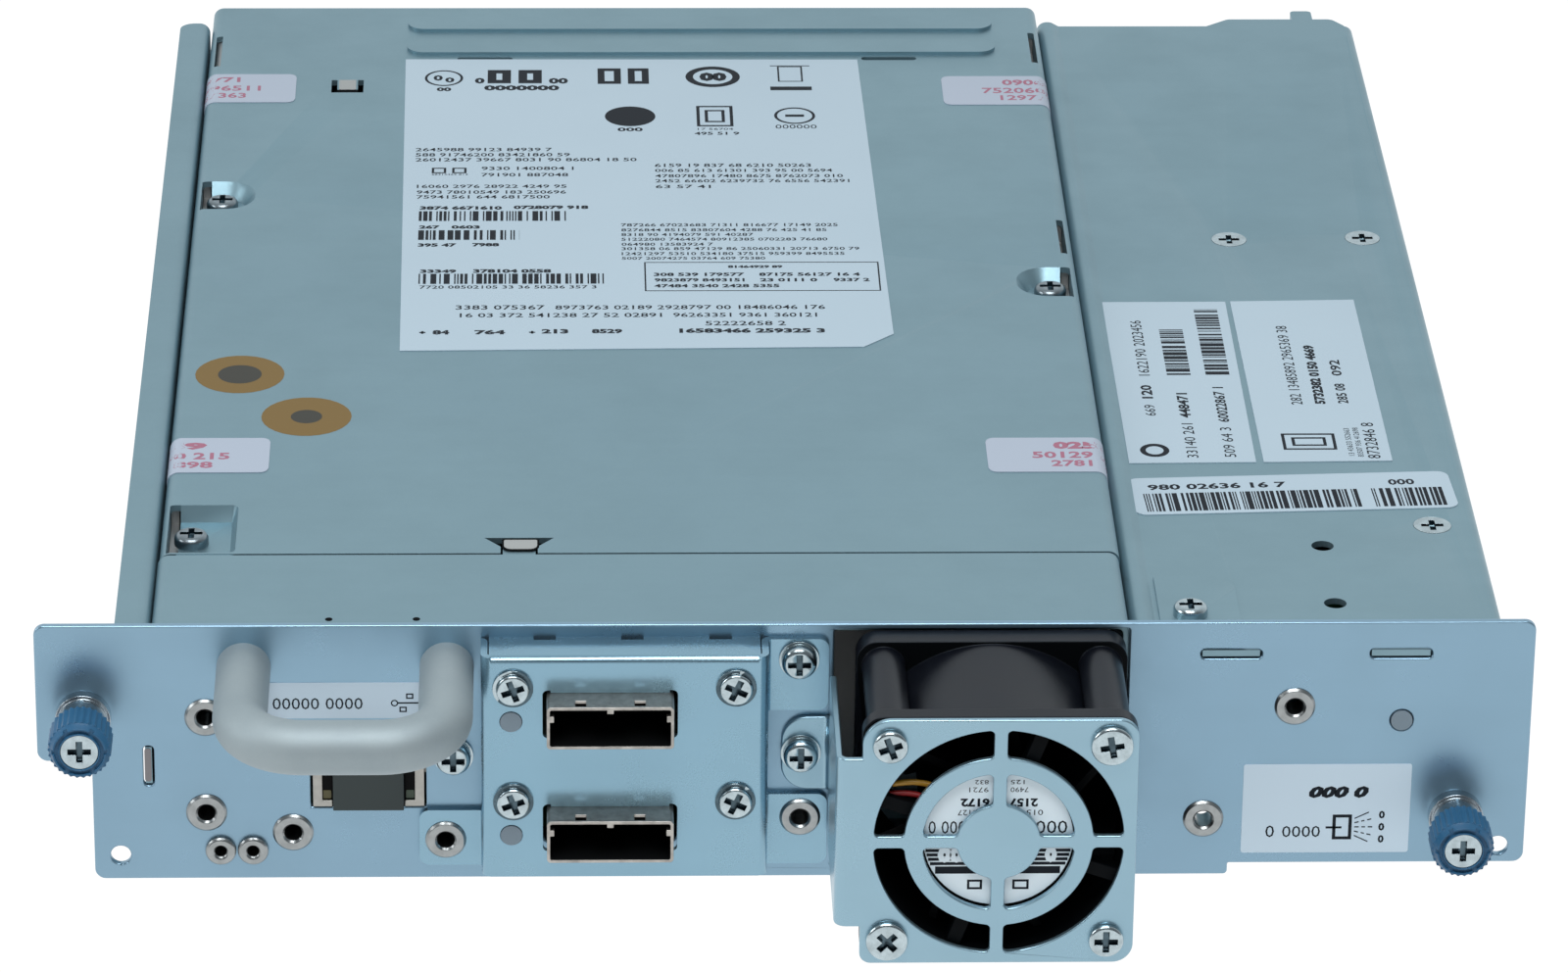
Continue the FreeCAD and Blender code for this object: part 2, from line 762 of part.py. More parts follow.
def side_cover():
    """The electronics compartment's lid: a ridge beside the drive, a flat top, a down-turned
    right edge and a stepped far edge with a locating nub."""
    h = sheet / 2
    near = panel_sheet + gap
    x0 = side_left + h
    z = side_top - h
    line = [(x0, shelf_top + gap), (x0, z + ridge_rise), (x0 + ridge_flat, z + ridge_rise),
            (x0 + ridge_flat + ridge_run, z), (side_right - h, z), (side_right - h, side_top - side_flange)]
    loop = folded(line, in_xz(near), (0, side_near_far - near, 0), inside=ridge_bend)
    r = side_corner
    back = plate(((side_left + step_x, side_near_far - 5, 0), (side_right - 1.5, side_near_far - 5, 0),
                  (side_right - 1.5, side_far - 3, 0), (side_right - r, side_far, step_round),
                  (side_left + step_x + step_slope, side_far, step_round),
                  (side_left + step_x, side_near_far, 0)), in_xy(side_top - sheet), (0, 0, sheet))
    nub_x = side_right - nub_inset - nub_width / 2
    nub = plate(oblong(nub_x - nub_width / 2, nub_x + nub_width / 2, side_far - 2, back_reach, 0.8),
                in_xy(side_top - sheet), (0, 0, sheet))
    tabs = [box(side_left + x, side_left + x + w, slot_clearance, near + 1, side_top - sheet, side_top)
            for x, w in cover_tabs]
    pad = plate(((side_left + 4.6, near, 0), (side_left + 4.6 + pad_width, near, 0),
                 (side_left + 4.6 + pad_width, pad_depth, pad_corner), (side_left + 4.6, pad_depth, 0)),
                in_xy(side_top - h), (0, 0, h + pad_rise))
    holes = [sink((side_left + x, y, side_top), (0, 0, -1), m3) for x, y in standoffs_at]
    holes += [rod((side_left + x, y, side_top - 2), (0, 0, 1), side_hole_radius, 4) for x, y in side_holes]
    holes.append(rod((side_left + side_screw[0], side_screw[1], side_top - 2), (0, 0, 1), m3 + gap, 4))
    return cut(fuse([loop, back, nub, pad] + tabs), holes)


# ---------------------------------------------------------------- sled: inserts and ports
def insert(at, head, barrel, bore, length, front, rim=insert_rim):
    """A clinch insert: a chamfered rim on the sheet's face and a threaded barrel through it."""
    x, z = at
    y = front - rim
    c = insert_chamfer
    body = fuse([Part.makeCone(head - c, head, c, V(x, y, z), V(0, 1, 0)),
                 rod((x, y + c, z), (0, 1, 0), head, rim - c),
                 rod((x, y + c, z), (0, 1, 0), barrel - gap / 2, length - c)])
    return cut(body, [rod((x, y - 1, z), (0, 1, 0), bore, length + 2),
                      Part.makeCone(bore + c, bore, c, V(x, y, z), V(0, 1, 0))])


def clinch_inserts():
    """The larger inserts, on the panel and on the port bracket's lower ears."""
    plain = [insert(p, insert_head, insert_barrel, insert_bore, insert_length, 0) for p in inserts_at]
    ears = [insert(p, insert_head, insert_barrel, insert_bore, insert_length + sheet, -sheet)
            for p in ear_inserts_at]
    return plain + ears


def small_inserts():
    """The pair of small inserts low on the left."""
    return [insert(p, small_head, small_barrel, small_bore, insert_length, 0, small_rim)
            for p in small_inserts_at]


def port_bracket():
    """A hat-shaped bracket that carries both ports clear of the panel: face, two side walls,
    three ears flat on the panel, and a top flange hooked into three slits."""
    h = sheet / 2
    y = -port_stand + h
    line = [(left_ear_end, -h), (port_left + h, -h), (port_left + h, y), (port_right - h, y),
            (port_right - h, -h), (right_ear_end, -h)]
    body = folded(line, in_xy(lower_ear[0]), (0, 0, port_top - lower_ear[0]), inside=0.5)
    side = port_width / 2 + port_side_gap
    wide = 20
    cuts = [box(left_ear_end - 1, port_left, -sheet - 0.5, 1, left_ear[1], port_top + 1),
            box(port_left - 1, port_right + 1, -port_stand - 1, -sheet - 0.3, 0, port_bottom),
            box(port_right, right_ear_end + 1, -sheet - 0.5, 1, lower_ear[1], upper_ear[0]),
            box(port_left - 0.5, port_left + sheet + 0.5, -port_stand + 2.5, -sheet,
                wall_notch[0], wall_notch[1])]
    cuts.append(box(port_left + 2, port_right - 2, -sheet - 0.3, 1, 0, port_bottom))
    for z in ports_z:
        cuts.append(plate(oblong(port_x - side, port_x + side, z - port_height / 2 - port_gap,
                                 z + port_height / 2 + port_gap, 0.8), in_xz(-wide), (0, wide, 0)))
    cuts += [rod((x, -wide, z), (0, 1, 0), m3 + gap, wide) for x in port_screw_x for z in port_screw_z]
    cuts += [rod((port_light_x, -wide, z), (0, 1, 0), light_radius + gap, wide) for z in port_lights_z]
    cuts += [rod((p[0], -wide, p[1]), (0, 1, 0), insert_barrel, wide) for p in ear_inserts_at]
    cuts.append(rod((ear_screw[0], -wide, ear_screw[1]), (0, 1, 0), m3 + gap, wide))
    top = box(port_left + 1.2, port_right - 1.2, -port_stand + 0.6, 0, port_top - sheet, port_top)
    slits = [box(x - slit_width / 2, x + slit_width / 2, -0.9, 1, port_top - sheet - 1, port_top + 1)
             for x in slits_x]
    body = cut(fuse([body, top]), cuts + slits)
    return soften(body, ear_corner, lambda b: abs(b.YMax) < 0.02 and abs(b.YMin + sheet) < 0.02
                  and b.ZMax - b.ZMin < 0.01 and b.XMax - b.XMin < 0.01
                  and (abs(b.XMin - left_ear_end) < 0.02 or abs(b.XMin - right_ear_end) < 0.02))


def soften(body, radius, chosen):
    """Rounds the edges whose bounding boxes are chosen."""
    edges = [e for e in body.Edges if chosen(e.BoundBox)]
    return body.makeFillet(radius, edges) if edges else body


def port_cage(z):
    """A shielded cable receptacle: a thin metal sleeve with two latch windows in its roof and
    three nubs turned in at its mouth."""
    front = -port_stand - port_out
    w, h = port_width / 2, port_height / 2
    shell = plate(oblong(port_x - w, port_x + w, z - h, z + h, 0.6), in_xz(front), (0, port_depth, 0))
    room = plate(oblong(port_x - w + port_shell, port_x + w - port_shell, z - h + port_shell,
                        z + h - port_shell, 0.3), in_xz(front - 1), (0, port_depth - port_shell + 1, 0))
    wide, long, back = latch_window
    windows = [box(port_x + s * latch_apart / 2 - wide / 2, port_x + s * latch_apart / 2 + wide / 2,
                   front + back, front + back + long, z + h - 1, z + h + 1) for s in (-1, 1)]
    reach, high, deep = port_nub
    t = port_shell
    middle = z + h - port_nub_drop
    nubs = [box(port_x - w + t / 2, port_x - w + t + reach, front, front + deep, middle - high / 2, middle + high / 2),
            box(port_x + w - t - reach, port_x + w - t / 2, front, front + deep, middle - high / 2, middle + high / 2),
            box(port_x - high / 2, port_x + high / 2, front, front + deep, z + h - t - reach, z + h - t / 2)]
    return fuse([cut(shell, [room] + windows)] + nubs)


def port_contacts(z):
    """The black contact block deep in a receptacle, with its card-edge tongue."""
    front = -port_stand - port_out
    w = port_width / 2 - port_shell - gap
    h = port_height / 2 - port_shell - gap
    back = front + port_depth - port_shell - gap
    block = box(port_x - w, port_x + w, back - contact_block, back, z - h, z + h)
    tongue = box(port_x - tongue_width / 2, port_x + tongue_width / 2, back - contact_block - tongue_length,
                 back - contact_block + 1, z - tongue_thick / 2, z + tongue_thick / 2)
    return fuse([block, tongue])


def port_board():
    """The upright circuit board that both receptacles are soldered to."""
    y = -port_stand - port_out + port_depth + gap
    inset = port_board_inset
    return box(port_left + inset, port_right - inset, y, y + board_sheet, sheet + inset, port_top - inset)


def port_screws():
    """Four flanged screws that hold the ports to the bracket's face."""
    return [pan_screw((x, -port_stand, z), (0, 1, 0), m3, short_screw, washer=True, turn=turn,
                      head=low_head, high=low_height)
            for x, turn in zip(port_screw_x, (20, 65)) for z in port_screw_z]


def panel_screws():
    """The domed screw in the port bracket's ear, the one in the fan bracket's foot, and the
    one that pulls the jack's ear against the panel."""
    places = [(ear_screw, -sheet), (foot_screw, -sheet), (jack_screw, 0)]
    return [pan_screw((p[0], y, p[1]), (0, 1, 0), m3, short_screw, washer=True) for p, y in places]


def light_pipes():
    """Clear rods that carry the status lights through the sheet."""
    length = port_stand + 3
    pipes = [rod((port_light_x, -port_stand - 0.2, z), (0, 1, 0), light_radius, length)
             for z in port_lights_z]
    pipes.append(rod((panel_light[0], -0.2, panel_light[1]), (0, 1, 0), light_radius, light_length))
    return pipes


def network_jack():
    """The jack's folded metal shell, open at the front and below, with its front strips, its
    sills under the light windows, and its side ear."""
    x0, x1 = jack_x - jack_width / 2, jack_x + jack_width / 2
    top = jack_bottom + jack_height
    shell = box(x0, x1, -jack_out, jack_depth - jack_out, jack_bottom, top)
    s = jack_shell
    inside = box(x0 + s, x1 - s, -jack_out - 1, jack_depth - jack_out - s, jack_bottom - 1, top - s)
    x, z = jack_screw
    y = panel_sheet + gap
    ear = box(x1 - s, x + jack_ear_half, y, y + jack_ear, z - jack_ear_half, z + jack_ear_half)
    ear = cut(ear, [rod((x, y - 1, z), (0, 1, 0), m3 + gap / 2, jack_ear + 2)])
    room = jack_room[0] / 2
    front = []
    for a, b, c in ((x0, x0 + jack_strip, jack_x - room), (x1 - jack_strip, x1, jack_x + room)):
        front.append(box(a, b, -jack_out, -jack_out + s, jack_bottom, top))
        front.append(box(min(a, c), max(b, c), -jack_out, -jack_out + s, jack_bottom,
                         jack_bottom + jack_sill))
    return fuse([cut(shell, [inside]), ear] + front)


def jack_insert():
    """The jack's moulded body: the plug's room, a latch step and two light windows."""
    x0, x1 = jack_x - jack_width / 2 + jack_shell + gap, jack_x + jack_width / 2 - jack_shell - gap
    top = jack_bottom + jack_height - jack_shell - gap
    back = jack_depth - jack_out - jack_shell - gap
    body = box(x0, x1, -jack_out + jack_shell + gap, back, jack_bottom, top)
    w, h, d = jack_room
    room = box(jack_x - w / 2, jack_x + w / 2, -5, d, jack_bottom + 1, jack_bottom + 1 + h)
    latch = box(jack_x - 3, jack_x + 3, -5, d, jack_bottom + 1 + h - 0.5, jack_bottom + h + 2.4)
    return cut(body, [room, latch])


def dust_plug():
    """The stopper in the jack, with a plain face that stands a little proud."""
    w, h, d = jack_room
    g = plug_gap
    body = box(jack_x - w / 2 + g, jack_x + w / 2 - g, -jack_out - plug_out, d - 2,
               jack_bottom + 1 + g, jack_bottom + 1 + h - g)
    hollow = box(jack_x - w / 2 + 1.2, jack_x + w / 2 - 1.2, 2, d, jack_bottom + 2.4, jack_bottom + h - 0.4)
    face = box(jack_x - w / 2 + g, jack_x + w / 2 - g, -jack_out - plug_out, -jack_out - g,
               jack_bottom, jack_bottom + plug_top)
    return cut(fuse([body, face]), [hollow])


def jack_board():
    """The small management board under the jack, on two posts from the tray's floor."""
    top = jack_bottom - gap
    low = top - board_sheet
    x0, x1 = jack_x - jack_board_half, jack_x + jack_board_half
    near = panel_sheet + 2 * seat_gap
    far = near + jack_board_depth
    posts = [rod((x, far - 1.5 * jack_post, sheet), (0, 0, 1), jack_post, low - sheet)
             for x in (x0 + 1.5 * jack_post, x1 - 1.5 * jack_post)]
    return fuse([box(x0, x1, near, far, low, top)] + posts)


def pull_handle():
    """A round bar bent to a U, with a tapped hole in each end."""
    s, r = handle_spread / 2, handle_bend
    k = r * (1 - math.sqrt(0.5))
    y = -handle_reach
    z = handle_z

    def p(x, y):
        return V(handle_x + x, y, z)

    edges = [Part.LineSegment(p(-s, 0), p(-s, y + r)).toShape(),
             Part.Arc(p(-s, y + r), p(-s + k, y + k), p(-s + r, y)).toShape(),
             Part.LineSegment(p(-s + r, y), p(s - r, y)).toShape(),
             Part.Arc(p(s - r, y), p(s - k, y + k), p(s, y + r)).toShape(),
             Part.LineSegment(p(s, y + r), p(s, 0)).toShape()]
    ring = Part.Wire([Part.makeCircle(handle_radius, p(-s, 0), V(0, 1, 0))])
    bar = Part.Wire(edges).makePipeShell([ring], True, False)
    taps = [rod((handle_x + side * s, 1, z), (0, -1, 0), m4, handle_tap + 1) for side in (-1, 1)]
    return cut(bar, taps)


def handle_screws():
    """Two screws from inside the panel into the ends of the handle."""
    return [pan_screw((handle_x + s * handle_spread / 2, panel_sheet, handle_z), (0, -1, 0), m4 - gap,
                      panel_sheet + handle_tap - 1) for s in (-1, 1)]


# ---------------------------------------------------------------- captive screws
def knob(at):
    """A knurled plastic cup over the ferrule, with a grooved face round the screw's head."""
    step = math.pi / knob_flutes
    ring = [(at[0] + r * math.cos(i * step), at[1] + r * math.sin(i * step), 0)
            for i in range(2 * knob_flutes) for r in (knob_radius - flute_depth * (i % 2),)]
    body = plate(ring, in_xz(-knob_front + 1.0), (0, knob_length - 1.0, 0))
    smooth = knob_radius - flute_depth
    nose = Part.makeCone(smooth - 0.5, smooth, 1.0, V(at[0], -knob_front, at[1]), V(0, 1, 0))
    room = rod((at[0], -knob_front + knob_web, at[1]), (0, 1, 0), knob_radius - knob_skin, knob_length)
    groove = tube((at[0], -knob_front - 1, at[1]), (0, 1, 0), screw_head + 0.85, screw_head + 0.25, 1.5)
    seat = rod((at[0], -knob_front - 1, at[1]), (0, 1, 0), screw_head + running, screw_head_depth + 1.2)
    hole = rod((at[0], -knob_front - 1, at[1]), (0, 1, 0), screw_neck + running, knob_length)
    width, reach, depth = knob_notch
    notches = []
    for i in range(knob_notches):
        notch = box(screw_head + 0.5, screw_head + 0.85 + reach, -knob_front - 1, -knob_front + depth,
                    -width / 2, width / 2)
        notch.rotate(V(0, 0, 0), V(0, 1, 0), 360 * i / knob_notches)
        notch.translate(V(at[0], 0, at[1]))
        notches.append(notch)
    return cut(fuse([body, nose]), [room, groove, seat, hole] + notches)


def captive_screw(at):
    """The screw pressed into the knob. Its thread is thicker than its neck, so the ferrule's lip
    keeps it; the threaded tip stands out behind the panel."""
    front = -knob_front + 0.2
    head = rod((at[0], front, at[1]), (0, 1, 0), screw_head, screw_head_depth)
    crosses = [box(at[0] - a, at[0] + a, front - 1, front + cross_sink, at[1] - b, at[1] + b)
               for a, b in ((cross_span / 2, cross_width / 2), (cross_width / 2, cross_span / 2))]
    neck = rod((at[0], front + 0.5, at[1]), (0, 1, 0), screw_neck, screw_tip - front - 1)
    start = panel_sheet + seat_gap
    thread = rod((at[0], start, at[1]), (0, 1, 0), screw_thread, screw_tip - start)
    thread = soften(thread, tip_round, lambda b: b.YMin > screw_tip - 0.01)
    return cut(fuse([head, neck, thread]), crosses)


def ferrule(at):
    """The sleeve pressed into the panel: barrel, flange, and an inner lip for the spring."""
    inner = ferrule_radius - ferrule_wall
    body = fuse([rod((at[0], -ferrule_length, at[1]), (0, 1, 0), ferrule_radius, ferrule_length),
                 rod((at[0], -ferrule_flange_thick, at[1]), (0, 1, 0), ferrule_flange, ferrule_flange_thick),
                 rod((at[0], -1, at[1]), (0, 1, 0), inner - running, 1 + panel_sheet)])
    lip = ferrule_flange_thick
    return cut(body, [rod((at[0], -ferrule_length - 1, at[1]), (0, 1, 0), inner, ferrule_length + 1 - lip),
                      rod((at[0], -5, at[1]), (0, 1, 0), screw_neck + 0.15, 10)])


def screw_spring(at):
    """The coil spring round the screw, from the ferrule's lip to the knob."""
    front = -knob_front + knob_web + seat_gap
    length = -ferrule_flange_thick - seat_gap - front - 2 * spring_wire
    mean = (screw_neck + ferrule_radius - ferrule_wall) / 2
    path = Part.makeHelix(length / spring_turns, length, mean)
    corners = [V(mean + spring_wire * math.cos(a), 0, spring_wire * math.sin(a))
               for a in [math.pi * k / 3 for k in range(6)]]
    wire = Part.makePolygon(corners + corners[:1])
    coil = Part.Wire(path.Edges).makePipeShell([wire], True, True)
    coil.Placement = FreeCAD.Placement(V(at[0], front + spring_wire, at[1]),
                                       FreeCAD.Rotation(V(0, 0, 1), V(0, 1, 0)))
    return coil


# ---------------------------------------------------------------- fan
def fan_frame():
    """The moulded housing: square flanges at both ends, a round barrel between, and a base
    for the motor carried on struts at the outer end."""
    half, r = fan_size / 2, fan_corner
    x0, x1, z0, z1 = fan_x - half, fan_x + half, fan_z - half, fan_z + half
    square = oblong(x0, x1, z0, z1, r)
    front = plate(square, in_xz(-fan_depth), (0, fan_front_flange, 0))
    back = plate(square, in_xz(-fan_flange), (0, fan_flange, 0))
    barrel = rod((fan_x, -fan_depth, fan_z), (0, 1, 0), fan_barrel, fan_depth)
    columns = [rod((fan_x + sx * fan_pitch / 2, -fan_depth, fan_z + sz * fan_pitch / 2), (0, 1, 0),
                   fan_corner, fan_depth) for sx in (-1, 1) for sz in (-1, 1)]
    body = fuse([front, back, barrel] + columns)
    screws = [rod((fan_x + sx * fan_pitch / 2, -fan_depth - 1, fan_z + sz * fan_pitch / 2), (0, 1, 0),
                  fan_hole, fan_depth + 2) for sx in (-1, 1) for sz in (-1, 1)]
    body = cut(body, [rod((fan_x, -fan_depth - 1, fan_z), (0, 1, 0), fan_bore, fan_depth + 2)] + screws)
    outer = -fan_depth + 0.4
    base = rod((fan_x, outer, fan_z), (0, 1, 0), fan_base_radius, fan_base_depth)
    struts = []
    for i in range(fan_struts):
        arm = box(fan_base_radius - 2, fan_bore + 0.4, outer, outer + fan_base_depth,
                  -fan_strut / 2, fan_strut / 2)
        arm.rotate(V(0, 0, 0), V(0, 1, 0), 20 + 360 * i / fan_struts)
        arm.translate(V(fan_x, 0, fan_z))
        struts.append(arm)
    post_radius = bearing_radius + running + tube_wall
    post = rod((fan_x, outer, fan_z), (0, 1, 0), post_radius, bearing_post())
    bore = rod((fan_x, outer + 1.2, fan_z), (0, 1, 0), bearing_radius + running, fan_depth)
    return cut(fuse([body, base, post] + struts), [bore])


def bearing_post():
    """Length of the bearing tube, from the base's outer face."""
    return fan_depth - hub_back - hub_wall - hub_gap - 0.4 - 2.0


def fan_bearings():
    """Two small bearings in the motor's tube."""
    outer = -fan_depth + 0.4
    first = outer + 1.2 + seat_gap
    last = outer + bearing_post() - bearing_width
    return [tube((fan_x, y, fan_z), (0, 1, 0), bearing_radius, fan_shaft + running, bearing_width)
            for y in (first, last)]


def fan_stator():
    """Four wound poles round the bearing tube."""
    y = -fan_depth + 0.4 + fan_base_depth + seat_gap
    inner = bearing_radius + running + tube_wall + gap
    core = tube((fan_x, y, fan_z), (0, 1, 0), inner + 1.2, inner, stator_height)
    arms = []
    for i in range(stator_poles):
        arm = box(inner + 0.8, stator_radius - 0.6, y + 1, y + stator_height - 1, -1.6, 1.6)
        shoe = box(stator_radius - 1.6, stator_radius - 0.4, y, y + stator_height, -3.4, 3.4)
        pole = fuse([arm, shoe])
        pole.rotate(V(0, 0, 0), V(0, 1, 0), 360 * i / stator_poles)
        pole.translate(V(fan_x, 0, fan_z))
        arms.append(pole)
    return fuse([core] + arms)


def fan_rotor():
    """The hub cup with its blades and shaft."""
    outer = -fan_depth + 0.4 + fan_base_depth + hub_gap
    back = -hub_back
    cup = rod((fan_x, outer, fan_z), (0, 1, 0), hub_radius, back - outer)
    cup = cut(cup, [rod((fan_x, outer - 1, fan_z), (0, 1, 0), hub_radius - hub_wall,
                        back - outer + 1 - hub_wall)])
    shaft_end = -fan_depth + 0.4 + 1.2 + seat_gap
    shaft = rod((fan_x, shaft_end, fan_z), (0, 1, 0), fan_shaft, back - 0.2 - shaft_end)
    blades = [blade(i, outer + 1.0, back) for i in range(blade_count)]
    return fuse([cup, shaft] + blades)


def blade(i, front, back):
    """One swept blade: a leaning plate from the hub to the barrel, trimmed to the bore."""
    tip = fan_bore - blade_gap
    span = back - front
    lean = span * math.tan(math.radians(blade_lean))
    t = blade_thick
    outline = ((front, -lean / 2, 0), (front + span * 0.45, -lean * 0.12, 0), (back, lean / 2, 0),
               (back, lean / 2 + t, 0), (front + span * 0.45, -lean * 0.12 + t, 0), (front, -lean / 2 + t, 0))
    body = plate(outline, lambda u, v: V(hub_radius - 0.8, u, v), (tip + 3 - hub_radius, 0, 0))
    keep = rod((0, front - 1, 0), (0, 1, 0), tip, span + 2)
    body = body.common(keep)
    body.rotate(V(0, 0, 0), V(0, 1, 0), 360 * i / blade_count)
    body.translate(V(fan_x, 0, fan_z))
    return body


def ring_slot(inner, outer, quarter):
    """A quarter of an annulus between two radii, less half a bar's width at each end."""
    h = grille_bar / 2
    angle_in = math.asin(h / inner)
    angle_out = math.asin(h / outer)
    right = math.pi / 2

    def p(radius, angle):
        a = quarter * right + angle
        return V(fan_x + radius * math.cos(a), -fan_depth - sheet - 1, fan_z + radius * math.sin(a))

    edges = [Part.Arc(p(outer, angle_out), p(outer, right / 2), p(outer, right - angle_out)).toShape(),
             Part.LineSegment(p(outer, right - angle_out), p(inner, right - angle_in)).toShape(),
             Part.Arc(p(inner, right - angle_in), p(inner, right / 2), p(inner, angle_in)).toShape(),
             Part.LineSegment(p(inner, angle_in), p(outer, angle_out)).toShape()]
    body = Part.Face(Part.Wire(edges)).extrude(V(0, sheet + 2, 0))
    return soften(body, grille_corner, lambda b: b.YMax - b.YMin > sheet)


def fan_bracket():
    """The fan's cover plate: a stamped finger guard with a folded wing and a foot."""
    h = sheet / 2
    y = -fan_depth - h
    half = fan_size / 2
    line = [(foot_left, -h), (wing_left + h, -h), (wing_left + h, y), (fan_x + half, y)]
    body = folded(line, in_xy(fan_z - half), (0, 0, fan_size))
    left = fan_x - half
    cuts = [box(foot_left - 1, left, -fan_depth - 2, 1, wing_top, fan_z + half + 1),
            box(foot_left - 1, left, -fan_depth - 2, 1, fan_z - half - 1, wing_bottom)]
    cuts += [box(foot_left - 1, wing_left + sheet + 1, -sheet - bend - 0.5, 1, a, b)
             for a, b in ((0, foot_bottom), (foot_top, 45))]
    cuts += [ring_slot(a, b, i) for a, b in ((grille_hub, grille_inner), (grille_ring, grille_outer))
             for i in range(4)]
    cuts += [rod((fan_x + sx * fan_pitch / 2, y - 2, fan_z + sz * fan_pitch / 2), (0, 1, 0), m4 + gap, 4)
             for sx in (-1, 1) for sz in (-1, 1)]
    cuts.append(rod((foot_screw[0], -3, foot_screw[1]), (0, 1, 0), m3 + gap, 4))
    body = cut(body, cuts)
    body = soften(body, bracket_corner, lambda b: b.XMin > left + fan_size - 0.01 and
                  b.ZMax - b.ZMin < 0.01 and b.YMax - b.YMin > sheet - 0.01)
    body = soften(body, bracket_big_corner, lambda b: abs(b.XMin - left) < 0.02 and b.XMax - b.XMin < 0.01
                  and b.ZMin > fan_z + half - 0.02 and b.YMax - b.YMin > sheet - 0.01)
    return soften(body, 4.0, lambda b: abs(b.XMax - foot_left) < 0.02 and b.XMax - b.XMin < 0.01
                  and b.ZMax - b.ZMin < 0.01)


def fan_screws():
    """Four self-tapping screws through the bracket into the fan's corners: a domed pair and,
    on the other diagonal, a pair with wide low heads."""
    y = -fan_depth - sheet
    pieces = []
    for sx, sz, turn in ((-1, -1, 45), (-1, 1, 20), (1, -1, 0), (1, 1, 10)):
        at = (fan_x + sx * fan_pitch / 2, y, fan_z + sz * fan_pitch / 2)
        head, high = (big_head, big_height) if sx == sz else (pan_head, low_height + 0.4)
        pieces.append(pan_screw(at, (0, 1, 0), fan_hole - running, fan_screw, turn=turn,
                                head=head, high=high))
    return pieces


# ---------------------------------------------------------------- drive: covers and base
def recess_form(recess, grow, low, high):
    """A sunk D between two levels, bigger all round by grow. Its walls lean in, and its straight
    side is sheared from the skirt along a slit."""
    edge, side, y, half, reach, corner, slope = recess
    start = edge + side * (sheet + recess_slit)
    wires = []
    for z in (low, high):
        more = grow - slope * (drive_top - z) / recess_depth
        tip = edge + side * (reach + more)
        corners = [(start, y - half - more, 0), (tip, y - half - more, corner + more),
                   (tip, y + half + more, corner + more), (start, y + half + more, 0)]
        wires.append(closed_wire(corners if side > 0 else corners[::-1], in_xy(z)))
    return Part.makeLoft(wires, True, True)


def cover_recesses():
    """Edge, side, place, half length, reach, corner radius and lean of each screw recess."""
    round_end = (recess_radius, recess_reach, recess_corner, recess_slope)
    return ((drive_left, 1, left_recess_y) + round_end, (drive_right, -1, right_recess_y) + round_end,
            (drive_left, 1, near_recess_y, near_recess_half, near_recess_reach, near_recess_corner,
             near_recess_slope))


def drive_cover():
    """The drive's lid: a folded top with skirts, two stiffening ribs, three screw recesses,
    and the lanced slots that hook it to the base."""
    h = sheet / 2
    line = [(drive_left + h, drive_top - skirt), (drive_left + h, drive_top - h),
            (drive_right - h, drive_top - h), (drive_right - h, drive_top - skirt)]
    body = folded(line, in_xz(drive_near), (0, drive_length, 0))
    adds, cuts = [], []
    for inset in rib_insets:
        y = drive_far - inset
        adds.append(plate(oblong(rib_left, rib_right, y - rib_width / 2, y + rib_width / 2, rib_width / 2 - 0.01),
                          in_xy(drive_top - 0.2), (0, 0, rib_rise + 0.2)))
    for recess in cover_recesses():
        edge, side, y, half = recess[:4]
        adds.append(recess_form(recess, sheet * 0.8, drive_top - recess_depth - sheet, drive_top - 0.1))
        cuts.append(recess_form(recess, 0, drive_top - recess_depth, drive_top + 0.5))
        slit = sorted((edge + side * sheet, edge + side * (sheet + recess_slit)))
        cuts.append(box(slit[0], slit[1], y - half, y + half, drive_top - recess_depth - sheet - 1,
                        drive_top + 1))
        x = edge + side * cover_screw_inset
        cuts.append(rod((x, y, drive_top - recess_depth - 3), (0, 0, 1), m3 + gap, 5))
    for x in lances_x:
        y = drive_far - rib_insets[1] - rib_width / 2 - 1.6
        cuts.append(plate(oblong(x - lance_width / 2, x + lance_width / 2, y - lance_depth / 2,
                                 y + lance_depth / 2, 0.6), in_xy(drive_top - 2), (0, 0, 4)))
    slots = [(drive_left + sheet, y) for y in left_slots_y]
    slots += [(drive_right - sheet - edge_slot_width, y) for y in right_slots_y]
    cuts += [box(x, x + edge_slot_width, y - edge_slot_length / 2, y + edge_slot_length / 2,
                 drive_top - 3.2, drive_top + 1) for x, y in slots]
    cuts += hook_cutters()
    w, n = notch_wide / 2, notch_narrow / 2
    cuts.append(plate(((notch_x - n, drive_near - 1, 0), (notch_x + n, drive_near - 1, 0),
                       (notch_x + n, drive_near + notch_throat, 0), (notch_x + w, drive_near + notch_depth, 0),
                       (notch_x - w, drive_near + notch_depth, 0), (notch_x - n, drive_near + notch_throat, 0)),
                      in_xy(drive_top - 2), (0, 0, 4)))
    body = fuse([cut(fuse([body] + adds), cuts), hook()])
    return soften(body, 3.0, lambda b: b.YMin > drive_far - 0.01 and b.XMin > drive_right - 1.2
                  and b.ZMin > drive_top - sheet - 0.1 and b.XMax - b.XMin < 0.01 and b.ZMax - b.ZMin > 0.5)


def hook_cutters():
    """The cutter for the window that a small hook is lanced from."""
    x, y = drive_left + hook_cut[0], drive_far - hook_cut[1]
    s = hook_cut_size / 2
    return [box(x - s, x + s, y - s, y + s, drive_top - 2, drive_top + 2)]


